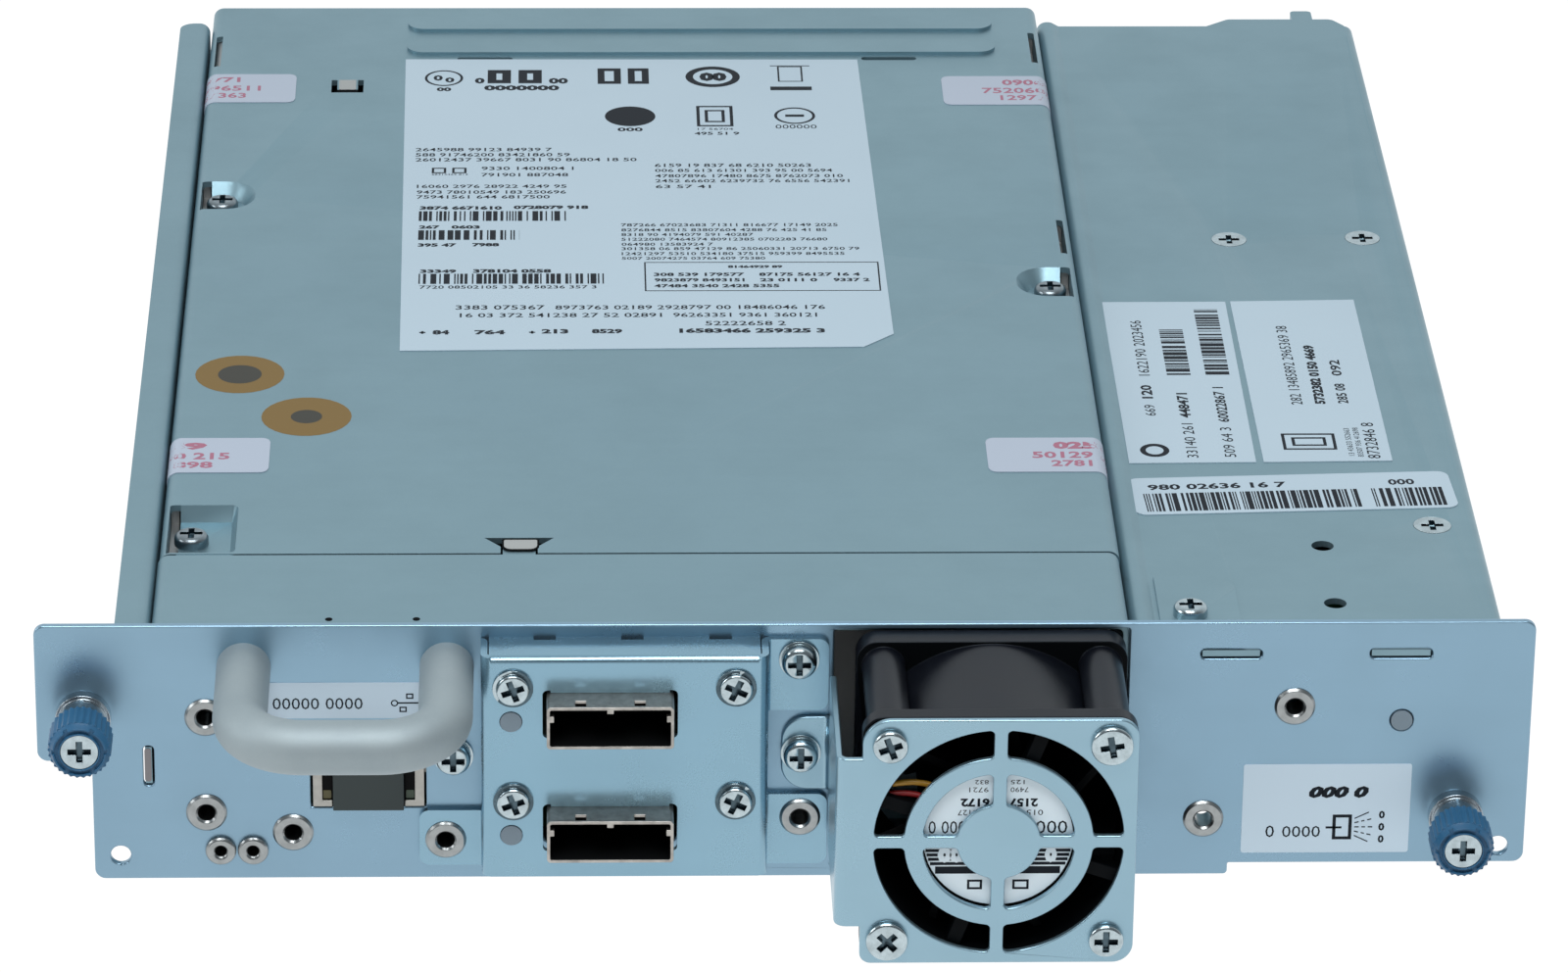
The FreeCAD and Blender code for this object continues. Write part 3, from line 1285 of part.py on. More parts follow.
def hook():
    """The hook: a tongue from the window's far side, leaning down towards the near side."""
    x, y = drive_left + hook_cut[0], drive_far - hook_cut[1]
    s = hook_cut_size / 2
    w = s - hook_cut_width
    tip, root = y - s + hook_cut_near, y + s
    outline = ((root + 0.2, drive_top - sheet, 0), (root + 0.2, drive_top, 0), (root, drive_top, 0),
               (tip, drive_top - hook_drop, 0), (tip, drive_top - sheet - hook_drop, 0),
               (root, drive_top - sheet, 0))
    return plate(outline, lambda u, v: V(x - w, u, v), (2 * w, 0, 0))


def cover_screws():
    """The three screws in the lid's recesses."""
    return [pan_screw((edge + side * cover_screw_inset, y, drive_top - recess_depth), (0, 0, -1), m3, short_screw)
            for edge, side, y, *_ in cover_recesses()]


def mouth():
    """The cartridge mouth: left, right, bottom and top."""
    half = cartridge_width / 2 + cartridge_play + cradle_wall + seat_gap
    low = cradle_floor - seat_gap
    return drive_middle - half, drive_middle + half, low, low + cradle_height + 2 * seat_gap


def deck_pillars():
    """Where the deck stands on the base."""
    near = drive_near + deck_near + pillar_radius + 1
    far = drive_far - deck_far - pillar_radius - 1
    return [(x, y) for x in (deck_left + pillar_radius + 1, deck_right - pillar_radius - 1)
            for y in (near, far)]


def drive_base():
    """The die-cast tub under the lid: floor, walls, the mouth frame, screw bosses and pillars."""
    near, far = drive_near + gap, drive_far
    low = drive_bottom + gap
    shell = plate(((inner_left, low, base_corner), (inner_right, low, base_corner),
                   (inner_right, base_top, bend), (inner_left, base_top, bend)),
                  in_xz(near), (0, far - near, 0))
    w = base_wall
    room = box(inner_left + w, inner_right - w, near + w, far - w, base_inside, base_top + 1)
    body = shell.cut(room)
    adds = [rod((x, y, low), (0, 0, 1), pillar_radius, deck_bottom - low) for x, y in deck_pillars()]
    keep = box(inner_left, inner_right, near, far, low, base_top)
    floor_z = drive_top - recess_depth - sheet - gap
    for edge, side, y, *_ in cover_recesses():
        x = edge + side * cover_screw_inset
        boss = rod((x, y, low), (0, 0, 1), boss_radius, floor_z - low)
        rib = box(min(x, edge), max(x, edge), y - boss_radius, y + boss_radius, low, floor_z)
        adds += [boss, rib.common(keep)]
    adds += [rod((x, y, low), (0, 0, 1), boss_radius, drive_screw_length + 2 - low).common(keep)
             for x, y in drive_screw_places()]
    x0, x1, z0, z1 = mouth()
    cuts = [box(x0, x1, far - w - 1, far + 1, z0, z1)]
    for edge, side, y, half, reach, *_ in cover_recesses():
        cuts.append(box(min(edge, edge + side * (reach + 1.2)) - 0.01,
                        max(edge, edge + side * (reach + 1.2)) + 0.01,
                        y - half - 1.0, y + half + 1.0, floor_z, base_top + 1))
        cuts.append(rod((edge + side * cover_screw_inset, y, floor_z - 6), (0, 0, 1), m3 + gap / 2, 8))
    cuts += [rod((x, y, 0), (0, 0, 1), m3 + gap / 2, drive_screw_length + 1)
             for x, y in drive_screw_places()]
    wide, z, high = plug_window
    cuts.append(box(drive_middle - wide / 2, drive_middle + wide / 2, near - 1, near + w + 1, z, z + high))
    cuts += [box(x - 1.0, x + 1.0, y - edge_slot_length / 2, y + edge_slot_length / 2, base_top - 3, base_top + 1)
             for x, y in [(inner_right, y) for y in right_slots_y]]
    return cut(fuse([body] + adds), cuts)


def drive_screws():
    """Four countersunk screws up through the tray into the base."""
    return [flat_screw((x, y, 0), (0, 0, 1), m3, drive_screw_length) for x, y in drive_screw_places()]


# ---------------------------------------------------------------- drive: deck and reels
def roller_post(at):
    """A guide roller's pin on the deck, with the shoulder that the roller turns on."""
    x, y = at
    low = rod((x, y, deck_top - 0.5), (0, 0, 1), 2.6, roller_bottom - seat_gap - deck_top + 0.5)
    pin = rod((x, y, deck_top - 0.5), (0, 0, 1), gear_pin, roller_height + roller_bottom - deck_top + 0.5)
    return [low, pin]


def tape_deck():
    """The steel deck with everything that is pressed into it: motor shafts, roller pins, the
    head's rods, the threader's pivot, the loader's gear pin and the cradle's two runners."""
    near, far = drive_near + deck_near, drive_far - deck_far
    body = plate(oblong(deck_left, deck_right, near, far, 3.0), in_xy(deck_bottom), (0, 0, deck_sheet))
    adds = []
    for x, y in (takeup_at, supply_at):
        top = reel_bottom + roller_height if (x, y) == takeup_at else cradle_floor - 1.0
        adds.append(rod((x, y, deck_top - 0.5), (0, 0, 1), shaft_radius, top - deck_top))
    for at in rollers_at:
        adds += roller_post(at)
    for s in (-1, 1):
        adds.append(rod((head_at[0], head_at[1] + s * head_rod_spread / 2, deck_top - 0.5), (0, 0, 1),
                        head_rod, head_bottom + head_height + head_travel - deck_top))
    x, y = threader_at
    adds.append(rod((x, y, deck_top - 0.5), (0, 0, 1), 3.0, threader_bottom - seat_gap - deck_top + 0.5))
    adds.append(rod((x, y, deck_top - 0.5), (0, 0, 1), gear_pin, threader_bottom + threader_thick - deck_top))
    x, y = gear_at
    adds.append(rod((x, y, deck_top - 0.5), (0, 0, 1), 2.6, gear_bottom - seat_gap - deck_top + 0.5))
    adds.append(rod((x, y, deck_top - 0.5), (0, 0, 1), gear_pin, gear_bottom + gear_height + 1 - deck_top))
    half = cartridge_width / 2 - 8
    top = cradle_floor - seat_gap
    runner_near = drive_far - cradle_mouth_gap - cartridge_depth - load_travel
    adds += [box(drive_middle + s * half - 1, drive_middle + s * half + 1, runner_near, far - 2,
                 deck_top - 0.5, top) for s in (-1, 1)]
    z0, z1 = deck_bottom - 1, deck_top + 1
    reach = cover_screw_inset + boss_radius + seat_gap
    wide = boss_radius + seat_gap
    notches = [box(min(edge, edge + side * reach), max(edge, edge + side * reach), y - wide, y + wide, z0, z1)
               for edge, side, y, *_ in cover_recesses()]
    return cut(fuse([body] + adds), notches)


def motor(at):
    """A flat reel motor's stator: a ring of teeth round the shaft, on the deck."""
    x, y = at
    z = deck_top + gap
    core = tube((x, y, z), (0, 0, 1), motor_radius * 0.55, shaft_radius + gap, motor_height)
    teeth = []
    for i in range(motor_slots):
        arm = box(motor_radius * 0.5, motor_radius - 2, -1.6, 1.6, z, z + motor_height)
        shoe = box(motor_radius - 3, motor_radius - 1.2, -4.6, 4.6, z, z + motor_height)
        tooth = fuse([arm, shoe])
        tooth.rotate(V(0, 0, 0), V(0, 0, 1), 360 * i / motor_slots)
        tooth.translate(V(x, y, 0))
        teeth.append(tooth)
    return fuse([core] + teeth)


def takeup_reel():
    """The fixed reel that winds the tape in: rotor cup, hub and two flanges, the upper one
    with windows."""
    x, y = takeup_at
    z = reel_bottom
    cup_low = deck_top + seat_gap
    outer = motor_radius + cup_clear + cup_sheet
    pieces = [rod((x, y, cup_low), (0, 0, 1), outer, z - cup_low + 0.5),
              rod((x, y, z), (0, 0, 1), reel_radius, reel_flange),
              rod((x, y, z), (0, 0, 1), reel_hub, roller_height),
              rod((x, y, z + reel_flange + tape_room), (0, 0, 1), reel_radius, reel_flange)]
    room = rod((x, y, cup_low - 1), (0, 0, 1), motor_radius + cup_clear, z - cup_low - 1)
    bore = rod((x, y, 0), (0, 0, 1), shaft_radius + running, 60)
    windows = []
    for i in range(3):
        w = rod((x + 27, y, z + reel_flange + tape_room - 1), (0, 0, 1), 5.0, 5)
        w.rotate(V(x, y, 0), V(0, 0, 1), 120 * i + 30)
        windows.append(w)
    leader = box(x + reel_hub - 4, x + reel_hub + 1, y - 2.5, y + 2.5, z + reel_flange, z + reel_flange + tape_room)
    return cut(fuse(pieces), [room, bore, leader] + windows)


def supply_clutch():
    """The toothed coupling that drives the cartridge's reel from below."""
    x, y = supply_at
    low = deck_top + gap + motor_height + seat_gap
    rim = motor_radius + cup_clear
    pieces = [rod((x, y, low), (0, 0, 1), rim, clutch_plate)]
    ring = tube((x, y, low), (0, 0, 1), clutch_outer, clutch_inner, clutch_plate + clutch_tooth)
    grooves = []
    for i in range(clutch_teeth):
        g = box(clutch_inner - 1, clutch_outer + 1, -1.1, 1.1, low + clutch_plate, low + 10)
        g.rotate(V(0, 0, 0), V(0, 0, 1), 360 * i / clutch_teeth)
        g.translate(V(x, y, 0))
        grooves.append(g)
    ring = ring.cut(grooves)
    return cut(fuse(pieces + [ring]), [rod((x, y, 0), (0, 0, 1), shaft_radius + running, 60)])


def guide_roller(at):
    """A flanged roller that steers the tape."""
    x, y = at
    z, h = roller_bottom, roller_height
    body = fuse([rod((x, y, z), (0, 0, 1), roller_radius, h), rod((x, y, z), (0, 0, 1), roller_rim, reel_flange),
                 rod((x, y, z + h - reel_flange), (0, 0, 1), roller_rim, reel_flange)])
    return cut(body, [rod((x, y, z - 1), (0, 0, 1), gear_pin + running, h + 2)])


def tape_head():
    """The read and write head on its carriage, which steps up and down two rods."""
    x, y = head_at
    w, n = head_width / 2, head_length / 2
    z = head_bottom
    body = box(x - w + 3, x + w, y - n, y + n, z, z + head_height)
    face = plate(((x - w, y - 3, 0.6), (x - w + 3.5, y - 7, 0), (x - w + 3.5, y + 7, 0), (x - w, y + 3, 0.6)),
                 in_xy(z + 1), (0, 0, head_height - 2))
    bores = [rod((x, y + s * head_rod_spread / 2, z - 1), (0, 0, 1), head_rod + running, head_height + 2)
             for s in (-1, 1)]
    return cut(fuse([body, face]), bores)


def threader_arm():
    """The arm that carries the leader pin from the cartridge to the take-up reel."""
    x, y = threader_at
    z, w = threader_bottom, threader_width / 2
    pieces = [rod((0, 0, z), (0, 0, 1), w + 1, threader_thick),
              box(0, threader_reach, -w * 0.7, w * 0.7, z, z + threader_thick),
              rod((threader_reach, 0, z), (0, 0, 1), w, threader_thick)]
    slot = box(threader_reach - 0.8, threader_reach + w + 1, -0.9, 0.9, z - 1, z + threader_thick + 1)
    bore = rod((0, 0, z - 1), (0, 0, 1), gear_pin + running, threader_thick + 2)
    arm = cut(fuse(pieces), [slot, bore])
    arm.rotate(V(0, 0, 0), V(0, 0, 1), threader_start)
    arm.translate(V(x, y, 0))
    return arm


# ---------------------------------------------------------------- drive: cradle and loader
def tape_cradle():
    """The open box that carries the cartridge in and out, with a rack on its left wall."""
    half = cartridge_width / 2 + cartridge_play
    far = drive_far - cradle_mouth_gap
    near = far - cartridge_depth
    x0, x1 = drive_middle - half, drive_middle + half
    w = cradle_wall
    z0, z1 = cradle_floor, cradle_floor + cradle_height
    body = box(x0 - w, x1 + w, near, far, z0, z1)
    room = box(x0, x1, near + w, far + 1, z0 + w, z1 + 1)
    reach = box(x0 + 20, x1 + 1, near - 1, near + w + 1, z0 + w, z1 + 1)
    x, y = supply_at
    hub = rod((x, y + load_travel, z0 - 1), (0, 0, 1), hub_hole_radius, w + 2)
    start = rod((x, y, z0 - 1), (0, 0, 1), hub_hole_radius, w + 2)
    slot = box(x - hub_hole_radius, x + hub_hole_radius, y, y + load_travel, z0 - 1, z0 + w + 1)
    corner = box(x1 - 14, x1 + w + 1, near - 1, near + 12, z0 + 2, z1 + 1)
    return fuse([cut(body, [room, reach, hub, start, slot, corner]), rack(x0 - w)])


def rack(wall):
    """The straight teeth on the cradle's wall, a space standing opposite the gear."""
    m = gear_module
    pitch = math.pi * m
    px = rack_pitch_x
    slope = math.tan(math.radians(pressure_angle))
    _, gear_y = gear_at
    low = gear_bottom + (gear_height - rack_height) / 2
    count = math.ceil((load_travel + 4 * m + pitch) / pitch) + 2
    first = gear_y - 2 * pitch - pitch / 2
    half = pitch / 4 - gear_backlash / 2
    root, tip = half + rack_dedendum * slope, half - rack_addendum * slope
    base = box(px + rack_dedendum, wall + 0.2, first - pitch / 2, first + (count - 0.5) * pitch,
               low, low + rack_height)
    teeth = [base]
    for i in range(count):
        y = first + i * pitch
        outline = ((px + rack_dedendum + 0.2, y - root, 0), (px + rack_dedendum, y - root, 0),
                   (px - rack_addendum, y - tip, 0), (px - rack_addendum, y + tip, 0),
                   (px + rack_dedendum, y + root, 0), (px + rack_dedendum + 0.2, y + root, 0))
        teeth.append(plate(outline, in_xy(low), (0, 0, rack_height)))
    return fuse(teeth)


def loader_gear():
    """A spur gear with involute flanks, a tooth standing towards the rack."""
    r = pitch_radius
    base = r * math.cos(math.radians(pressure_angle))
    tip, root = r + gear_addendum, r - 1.15 * gear_module
    half = math.pi / (2 * gear_teeth) - gear_backlash / (2 * r)
    turn = math.tan(math.radians(pressure_angle)) - math.radians(pressure_angle)

    def flank(radius):
        """Half the tooth's angle at this radius, from the involute of the base circle."""
        if radius <= base:
            return half + turn
        a = math.acos(base / radius)
        return half + turn - (math.tan(a) - a)

    steps = [root] + [base + (tip - base) * k / 4 for k in range(5)]
    x, y = gear_at
    points = []
    for i in range(gear_teeth):
        middle = 2 * math.pi * i / gear_teeth
        for radius in steps:
            points.append((radius, middle - flank(radius)))
        for radius in steps[::-1]:
            points.append((radius, middle + flank(radius)))
    outline = [(x + radius * math.cos(a), y + radius * math.sin(a), 0) for radius, a in points]
    body = plate(outline, in_xy(gear_bottom), (0, 0, gear_height))
    return cut(body, [rod((x, y, gear_bottom - 1), (0, 0, 1), gear_pin + running, gear_height + 2)])


# ---------------------------------------------------------------- circuit boards
def main_board():
    """The drive's own board under the deck, on four short feet."""
    near = drive_near + 9
    x0, x1 = deck_left + main_board_inset, deck_right - main_board_inset
    board = box(x0, x1, near, near + main_board_length, main_board_bottom, main_board_bottom + board_sheet)
    radius, inset = main_foot
    feet = [rod((x, y, base_inside), (0, 0, 1), radius, main_board_bottom - base_inside + 0.2)
            for x in (x0 + inset, x1 - inset) for y in (near + inset, near + main_board_length - inset)]
    top = main_board_bottom + board_sheet
    chips = [box(x0 + x, x0 + x + w, near + y, near + y + d, top, top + h) for x, y, w, d, h in main_chips]
    half = main_plug_width / 2
    plug = box(drive_middle - half, drive_middle + half, drive_near + 2, near + 3, top, deck_bottom - 0.6)
    return fuse([board, plug] + feet + chips)


def side_board():
    """The library interface board, between the shelf and its lid."""
    x0, x1 = side_left + board_inset, side_right - sheet - board_inset
    near, far = board_near, drive_far - board_far
    z = board_bottom
    board = box(x0, x1, near, far, z, z + board_sheet)
    top = z + board_sheet
    chips = [box(x0 + x, x0 + x + w, near + y, near + y + d, top - 0.1, top + h)
             for x, y, w, d, h in side_chips]
    holes = [rod((side_left + x, y, z - 1), (0, 0, 1), standoff_stem + gap, 4) for x, y in standoffs_at]
    return cut(fuse([board] + chips), holes)


def dock_connector():
    """The blind-mate connector that meets the library when the sled is home."""
    x = side_left + side_width / 2
    w = dock_width / 2
    z = board_bottom + board_sheet
    far = drive_far + dock_reach
    body = box(x - w, x + w, far - dock_depth, far, z, z + dock_height)
    room = box(x - w + 2.5, x + w - 2.5, far - 6, far + 1, z + 1.6, z + dock_height - 1.6)
    tongue = box(x - w + 5, x + w - 5, far - 7, far - 0.8, z + dock_height / 2 - 0.8, z + dock_height / 2 + 0.8)
    return fuse([cut(body, [room]), tongue])


def board_standoffs():
    """Lower spacers riveted to the shelf, tapped for the upper ones."""
    pieces = []
    for x, y in standoffs_at:
        at = (side_left + x, y, shelf_top)
        body = fuse([rod(at, (0, 0, 1), standoff_radius, standoff_height),
                     rod(at, (0, 0, -1), standoff_stem - running, sheet)])
        pieces.append(cut(body, [rod((at[0], at[1], shelf_top + 0.6), (0, 0, 1), standoff_stem - 0.35, 10)]))
    return pieces


def lid_standoffs():
    """Upper spacers: a stem through the board into the lower spacer, tapped for the lid's screws."""
    low = board_bottom + board_sheet
    top = side_top - sheet - gap
    pieces = []
    for x, y in standoffs_at:
        at = (side_left + x, y, low)
        body = fuse([rod(at, (0, 0, 1), standoff_radius, top - low),
                     rod(at, (0, 0, -1), standoff_stem - 0.4, board_sheet + 3)])
        pieces.append(cut(body, [rod((at[0], at[1], top - lid_screw), (0, 0, 1), m3 + gap / 2, lid_screw + 1)]))
    return pieces


def lid_screws():
    """Three countersunk screws in the side cover, and the domed one on its pad."""
    pieces = [flat_screw((side_left + x, y, side_top), (0, 0, -1), m3, lid_screw) for x, y in standoffs_at]
    x, y = side_screw
    pieces.append(pan_screw((side_left + x, y, side_top + pad_rise), (0, 0, -1), m3, lid_screw))
    return pieces


# ---------------------------------------------------------------- write every node
def main():
    os.makedirs(out, exist_ok=True)
    save("sled_tray", rail_corner_round(sled_tray()))
    save("rear_panel", rear_panel())
    save("bay_cover", bay_cover())
    save("side_cover", side_cover())
    save("clinch_inserts", *clinch_inserts())
    save("small_inserts", *small_inserts())
    save("port_bracket", port_bracket())
    for name, z in zip(("upper", "lower"), ports_z):
        save(name + "_port_cage", port_cage(z))
        save(name + "_port_contacts", port_contacts(z))
    save("port_board", port_board())
    save("port_screws", *port_screws())
    save("panel_screws", *panel_screws())
    save("light_pipes", *light_pipes())
    save("network_jack", network_jack())
    save("jack_insert", jack_insert())
    save("jack_board", jack_board())
    save("dust_plug", dust_plug())
    save("pull_handle", pull_handle())
    save("handle_screws", *handle_screws())
    for name, at in (("left", left_screw_at), ("right", right_screw_at)):
        save(name + "_knob", knob(at))
        save(name + "_captive_screw", captive_screw(at))
        save(name + "_ferrule", ferrule(at))
        save(name + "_spring", screw_spring(at))
    save("fan_frame", fan_frame())
    save("fan_bearings", *fan_bearings())
    save("fan_stator", fan_stator())
    save("fan_rotor", fan_rotor())
    save("fan_bracket", fan_bracket())
    save("fan_screws", *fan_screws())
    save("drive_cover", drive_cover())
    save("cover_screws", *cover_screws())
    save("drive_base", drive_base())
    save("drive_screws", *drive_screws())
    save("tape_deck", tape_deck())
    save("takeup_motor", motor(takeup_at))
    save("takeup_reel", takeup_reel())
    save("supply_motor", motor(supply_at))
    save("supply_clutch", supply_clutch())
    for i, at in enumerate(rollers_at):
        save("guide_roller_%d" % (i + 1), guide_roller(at))
    save("tape_head", tape_head())
    save("threader_arm", threader_arm())
    save("tape_cradle", tape_cradle())
    save("loader_gear", loader_gear())
    save("main_board", main_board())
    save("side_board", side_board())
    save("dock_connector", dock_connector())
    save("board_standoffs", *board_standoffs())
    save("lid_standoffs", *lid_standoffs())
    save("lid_screws", *lid_screws())


main()
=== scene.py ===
import json
import math

import bmesh
import bpy
import numpy as np
from mathutils import Matrix, Vector


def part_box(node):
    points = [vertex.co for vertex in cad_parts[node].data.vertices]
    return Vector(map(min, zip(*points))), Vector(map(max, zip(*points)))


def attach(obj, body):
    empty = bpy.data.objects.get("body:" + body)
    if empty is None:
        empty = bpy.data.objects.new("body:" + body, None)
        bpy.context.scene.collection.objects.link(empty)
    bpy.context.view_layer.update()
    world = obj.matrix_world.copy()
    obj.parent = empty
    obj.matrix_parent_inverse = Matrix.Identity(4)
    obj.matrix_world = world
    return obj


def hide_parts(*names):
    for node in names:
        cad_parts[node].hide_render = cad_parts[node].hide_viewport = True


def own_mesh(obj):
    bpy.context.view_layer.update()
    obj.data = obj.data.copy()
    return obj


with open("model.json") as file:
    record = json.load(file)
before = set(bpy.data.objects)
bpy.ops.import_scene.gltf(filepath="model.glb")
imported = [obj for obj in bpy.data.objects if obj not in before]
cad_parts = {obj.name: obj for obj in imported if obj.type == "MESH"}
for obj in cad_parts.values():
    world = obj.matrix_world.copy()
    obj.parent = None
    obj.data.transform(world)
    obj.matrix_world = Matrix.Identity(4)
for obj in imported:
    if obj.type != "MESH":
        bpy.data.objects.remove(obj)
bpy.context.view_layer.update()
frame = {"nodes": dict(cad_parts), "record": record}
MM = 0.001
PANEL_LOW, PANEL_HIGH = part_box("rear_panel")
FACE = PANEL_LOW.y                       # the connector panel's outer face


# ---------------------------------------------------------------- camera, light and floor
# The object stands on a white table lit from below, in a plain soft studio. The camera is a
# long lens, well above the panel and a little to its left.
STAND = Vector((-35.355, -1000.056, 546.386)) * MM      # from the foot of the panel's middle
TILT, SWING, ROLL = math.radians(25.701), math.radians(-1.983), math.radians(0.707)
SENSOR, LENS = 36.0, 174.7                              # millimetres
SKY_BEFORE, SKY_BEHIND = (0.16, 0.17, 0.18), (0.82, 0.86, 0.88)
SKY_FROM, SKY_TO = -0.45, 0.75                          # where along Y the sky brightens
TABLE_HALF, TABLE_GLOW = 4.0, 1.05                      # half the table's side, in metres

camera = bpy.data.objects.new("camera", bpy.data.cameras.new("camera"))
bpy.context.scene.collection.objects.link(camera)
level = math.cos(TILT)                                  # the level share of a look downward
ahead = Vector((-math.sin(SWING) * level, math.cos(SWING) * level, -math.sin(TILT)))
across = Vector((math.cos(SWING), math.sin(SWING), 0))
upward = across.cross(ahead)
right = math.cos(ROLL) * across + math.sin(ROLL) * upward
top = -math.sin(ROLL) * across + math.cos(ROLL) * upward
place = Vector((PANEL_LOW.x + PANEL_HIGH.x, 0, 0)) / 2 + Vector((0, FACE, 0)) + STAND
facing = Matrix((right, top, -ahead)).transposed().to_4x4()
camera.matrix_world = Matrix.Translation(place) @ facing
camera.data.sensor_width = SENSOR
camera.data.lens = LENS
camera.data.clip_end = 20.0
bpy.context.scene.camera = camera
bpy.context.scene.view_settings.view_transform = "Standard"

sky = bpy.data.worlds.new("studio")
bpy.context.scene.world = sky
sky.use_nodes = True
back_wall = sky.node_tree.nodes["Background"]          # bright behind the object, dim before it
toward = sky.node_tree.nodes.new("ShaderNodeSeparateXYZ")
shade = sky.node_tree.nodes.new("ShaderNodeValToRGB")
for stop, position, tone in zip(shade.color_ramp.elements, (0.0, 1.0), (SKY_BEFORE, SKY_BEHIND)):
    stop.position, stop.color = position, (*tone, 1)
depth = sky.node_tree.nodes.new("ShaderNodeMapRange")
depth.inputs["From Min"].default_value = SKY_FROM
depth.inputs["From Max"].default_value = SKY_TO
looking = sky.node_tree.nodes.new("ShaderNodeTexCoord")
for start, end in ((looking.outputs["Generated"], toward.inputs[0]),
                   (toward.outputs["Y"], depth.inputs[0]),
                   (depth.outputs[0], shade.inputs[0]),
                   (shade.outputs[0], back_wall.inputs["Color"])):
    sky.node_tree.links.new(start, end)


def soft_light(name, at, aim, size, power):
    """A square area light at one point, turned to face another."""
    lamp = bpy.data.objects.new(name, bpy.data.lights.new(name, "AREA"))
    lamp.data.shape = "SQUARE"
    lamp.data.size = size
    lamp.data.energy = power
    lamp.location = at
    lamp.rotation_euler = (Vector(aim) - Vector(at)).to_track_quat("-Z", "Y").to_euler()
    bpy.context.scene.collection.objects.link(lamp)


soft_light("overhead", (-0.05, -0.55, 1.15), (0, 0, 0), 0.75, 12.0)
soft_light("left", (-1.2, -0.3, 0.6), (0, -0.1, 0.02), 0.5, 4.0)

floor_mesh = bpy.data.meshes.new("table_top")
corners = [(x * TABLE_HALF, y * TABLE_HALF, 0) for x, y in ((-1, -1), (1, -1), (1, 1), (-1, 1))]
floor_mesh.from_pydata(corners, [], [(0, 1, 2, 3)])
table_top = bpy.data.objects.new("table_top", floor_mesh)
bpy.context.scene.collection.objects.link(table_top)
table_paint = bpy.data.materials.new("table_paint")
table_paint.use_nodes = True
glow = table_paint.node_tree.nodes["Principled BSDF"]
for socket, value in (("Base Color", (0, 0, 0, 1)), ("Roughness", 1.0),
                      ("Specular IOR Level", 0.0), ("Emission Color", (1, 1, 1, 1)),
                      ("Emission Strength", TABLE_GLOW)):
    glow.inputs[socket].default_value = value
floor_mesh.materials.append(table_paint)


# ---------------------------------------------------------------- tray, covers and drive lid
# Zinc-plated steel sheet, 1 mm thick, cut, pierced and folded. The plating is a dull satin
# grey-green with a fine rolled grain, and the cut edges are slightly broken.
CRISP = 32              # degrees: a sharper corner than this stays crisp, and is eased
WELD = 2e-6             # metres: vertices closer than this are one
COPLANAR = 0.6          # degrees: faces closer to one plane than this are one
WIDE_EDGE = 0.18        # millimetres: an easing this wide keeps its width on short edges
body_of = {node: body
           for body, members in frame["record"]["behaviour"]["bodies"].items()
           for node in members}


class Signal:
    """A shader socket in a Python expression: each operation adds its Math node."""

    def __init__(self, finish, socket):
        self.finish = finish
        self.socket = socket

    def join(self, operation, other):
        return self.finish.node("Math", {"operation": operation}, {0: self, 1: other})

    def __add__(self, other):
        return self.join("ADD", other)

    def __mul__(self, other):
        return self.join("MULTIPLY", other)

    __radd__ = __add__
    __rmul__ = __mul__


class Finish:
    """One procedural material. set() gives the shader its values, constant or varying."""

    def __init__(self, name, **values):
        self.material = bpy.data.materials.new(name)
        self.material.use_nodes = True
        self.tree = self.material.node_tree
        self.shader = self.tree.nodes["Principled BSDF"]
        self.set(**values)

    def node(self, kind, settings=None, sockets=None, output=0):
        """Adds a node: settings first, then a value or a link for each socket named."""
        made = self.tree.nodes.new("ShaderNode" + kind)
        for key, value in (settings or {}).items():
            if key == "stops":
                for stop, (position, shade) in zip(made.color_ramp.elements, value):
                    stop.position = position
                    stop.color = (shade, shade, shade, 1)
            else:
                setattr(made, key, value)
        for key, value in (sockets or {}).items():
            self.feed(made.inputs[key], value)
        return Signal(self, made.outputs[output])

    def feed(self, socket, value):
        """Gives a socket a link, a colour or a number, whichever the value is."""
        if isinstance(value, Signal):
            self.tree.links.new(value.socket, socket)
        elif socket.type == "RGBA":
            socket.default_value = (*value, 1)
        else:
            socket.default_value = value

    def set(self, **values):
        """Gives the shader's sockets their values; a space in a name is written as _."""
        for key, value in values.items():
            self.feed(self.shader.inputs[key.replace("_", " ")], value)

    def where(self, scale=(1, 1, 1)):
        """The piece's own coordinates, in metres, stretched by scale."""
        at = self.node("TexCoord", output="Object")
        return self.node("Mapping", {}, {"Vector": at, "Scale": scale})

    def noise(self, size, detail=2.0, rough=0.5, stretch=(1, 1, 1)):
        """Soft noise whose spots are about size millimetres across."""
        return self.node("TexNoise", {}, {
            "Vector": self.where(stretch), "Scale": 1000 / size,
            "Detail": detail, "Roughness": rough})

    def mix(self, amount, first, second):
        """From the first colour to the second, by an amount from 0 to 1."""
        sockets = {0: amount, 6: first, 7: second}     # factor and the two colours, A and B
        return self.node("Mix", {"data_type": "RGBA"}, sockets, output=2)

    def ramp(self, value, low, high):
        """Stretches the part of a value between low and high over 0 to 1."""
        return self.node("ValToRGB", {"stops": ((low, 0), (high, 1))}, {"Fac": value})

    def bump(self, height, depth):
        """Turns a height of 0 to 1 into a surface normal, depth millimetres deep."""
        sockets = {"Height": height, "Strength": 1.0, "Distance": depth * MM}
        self.set(Normal=self.node("Bump", {}, sockets))


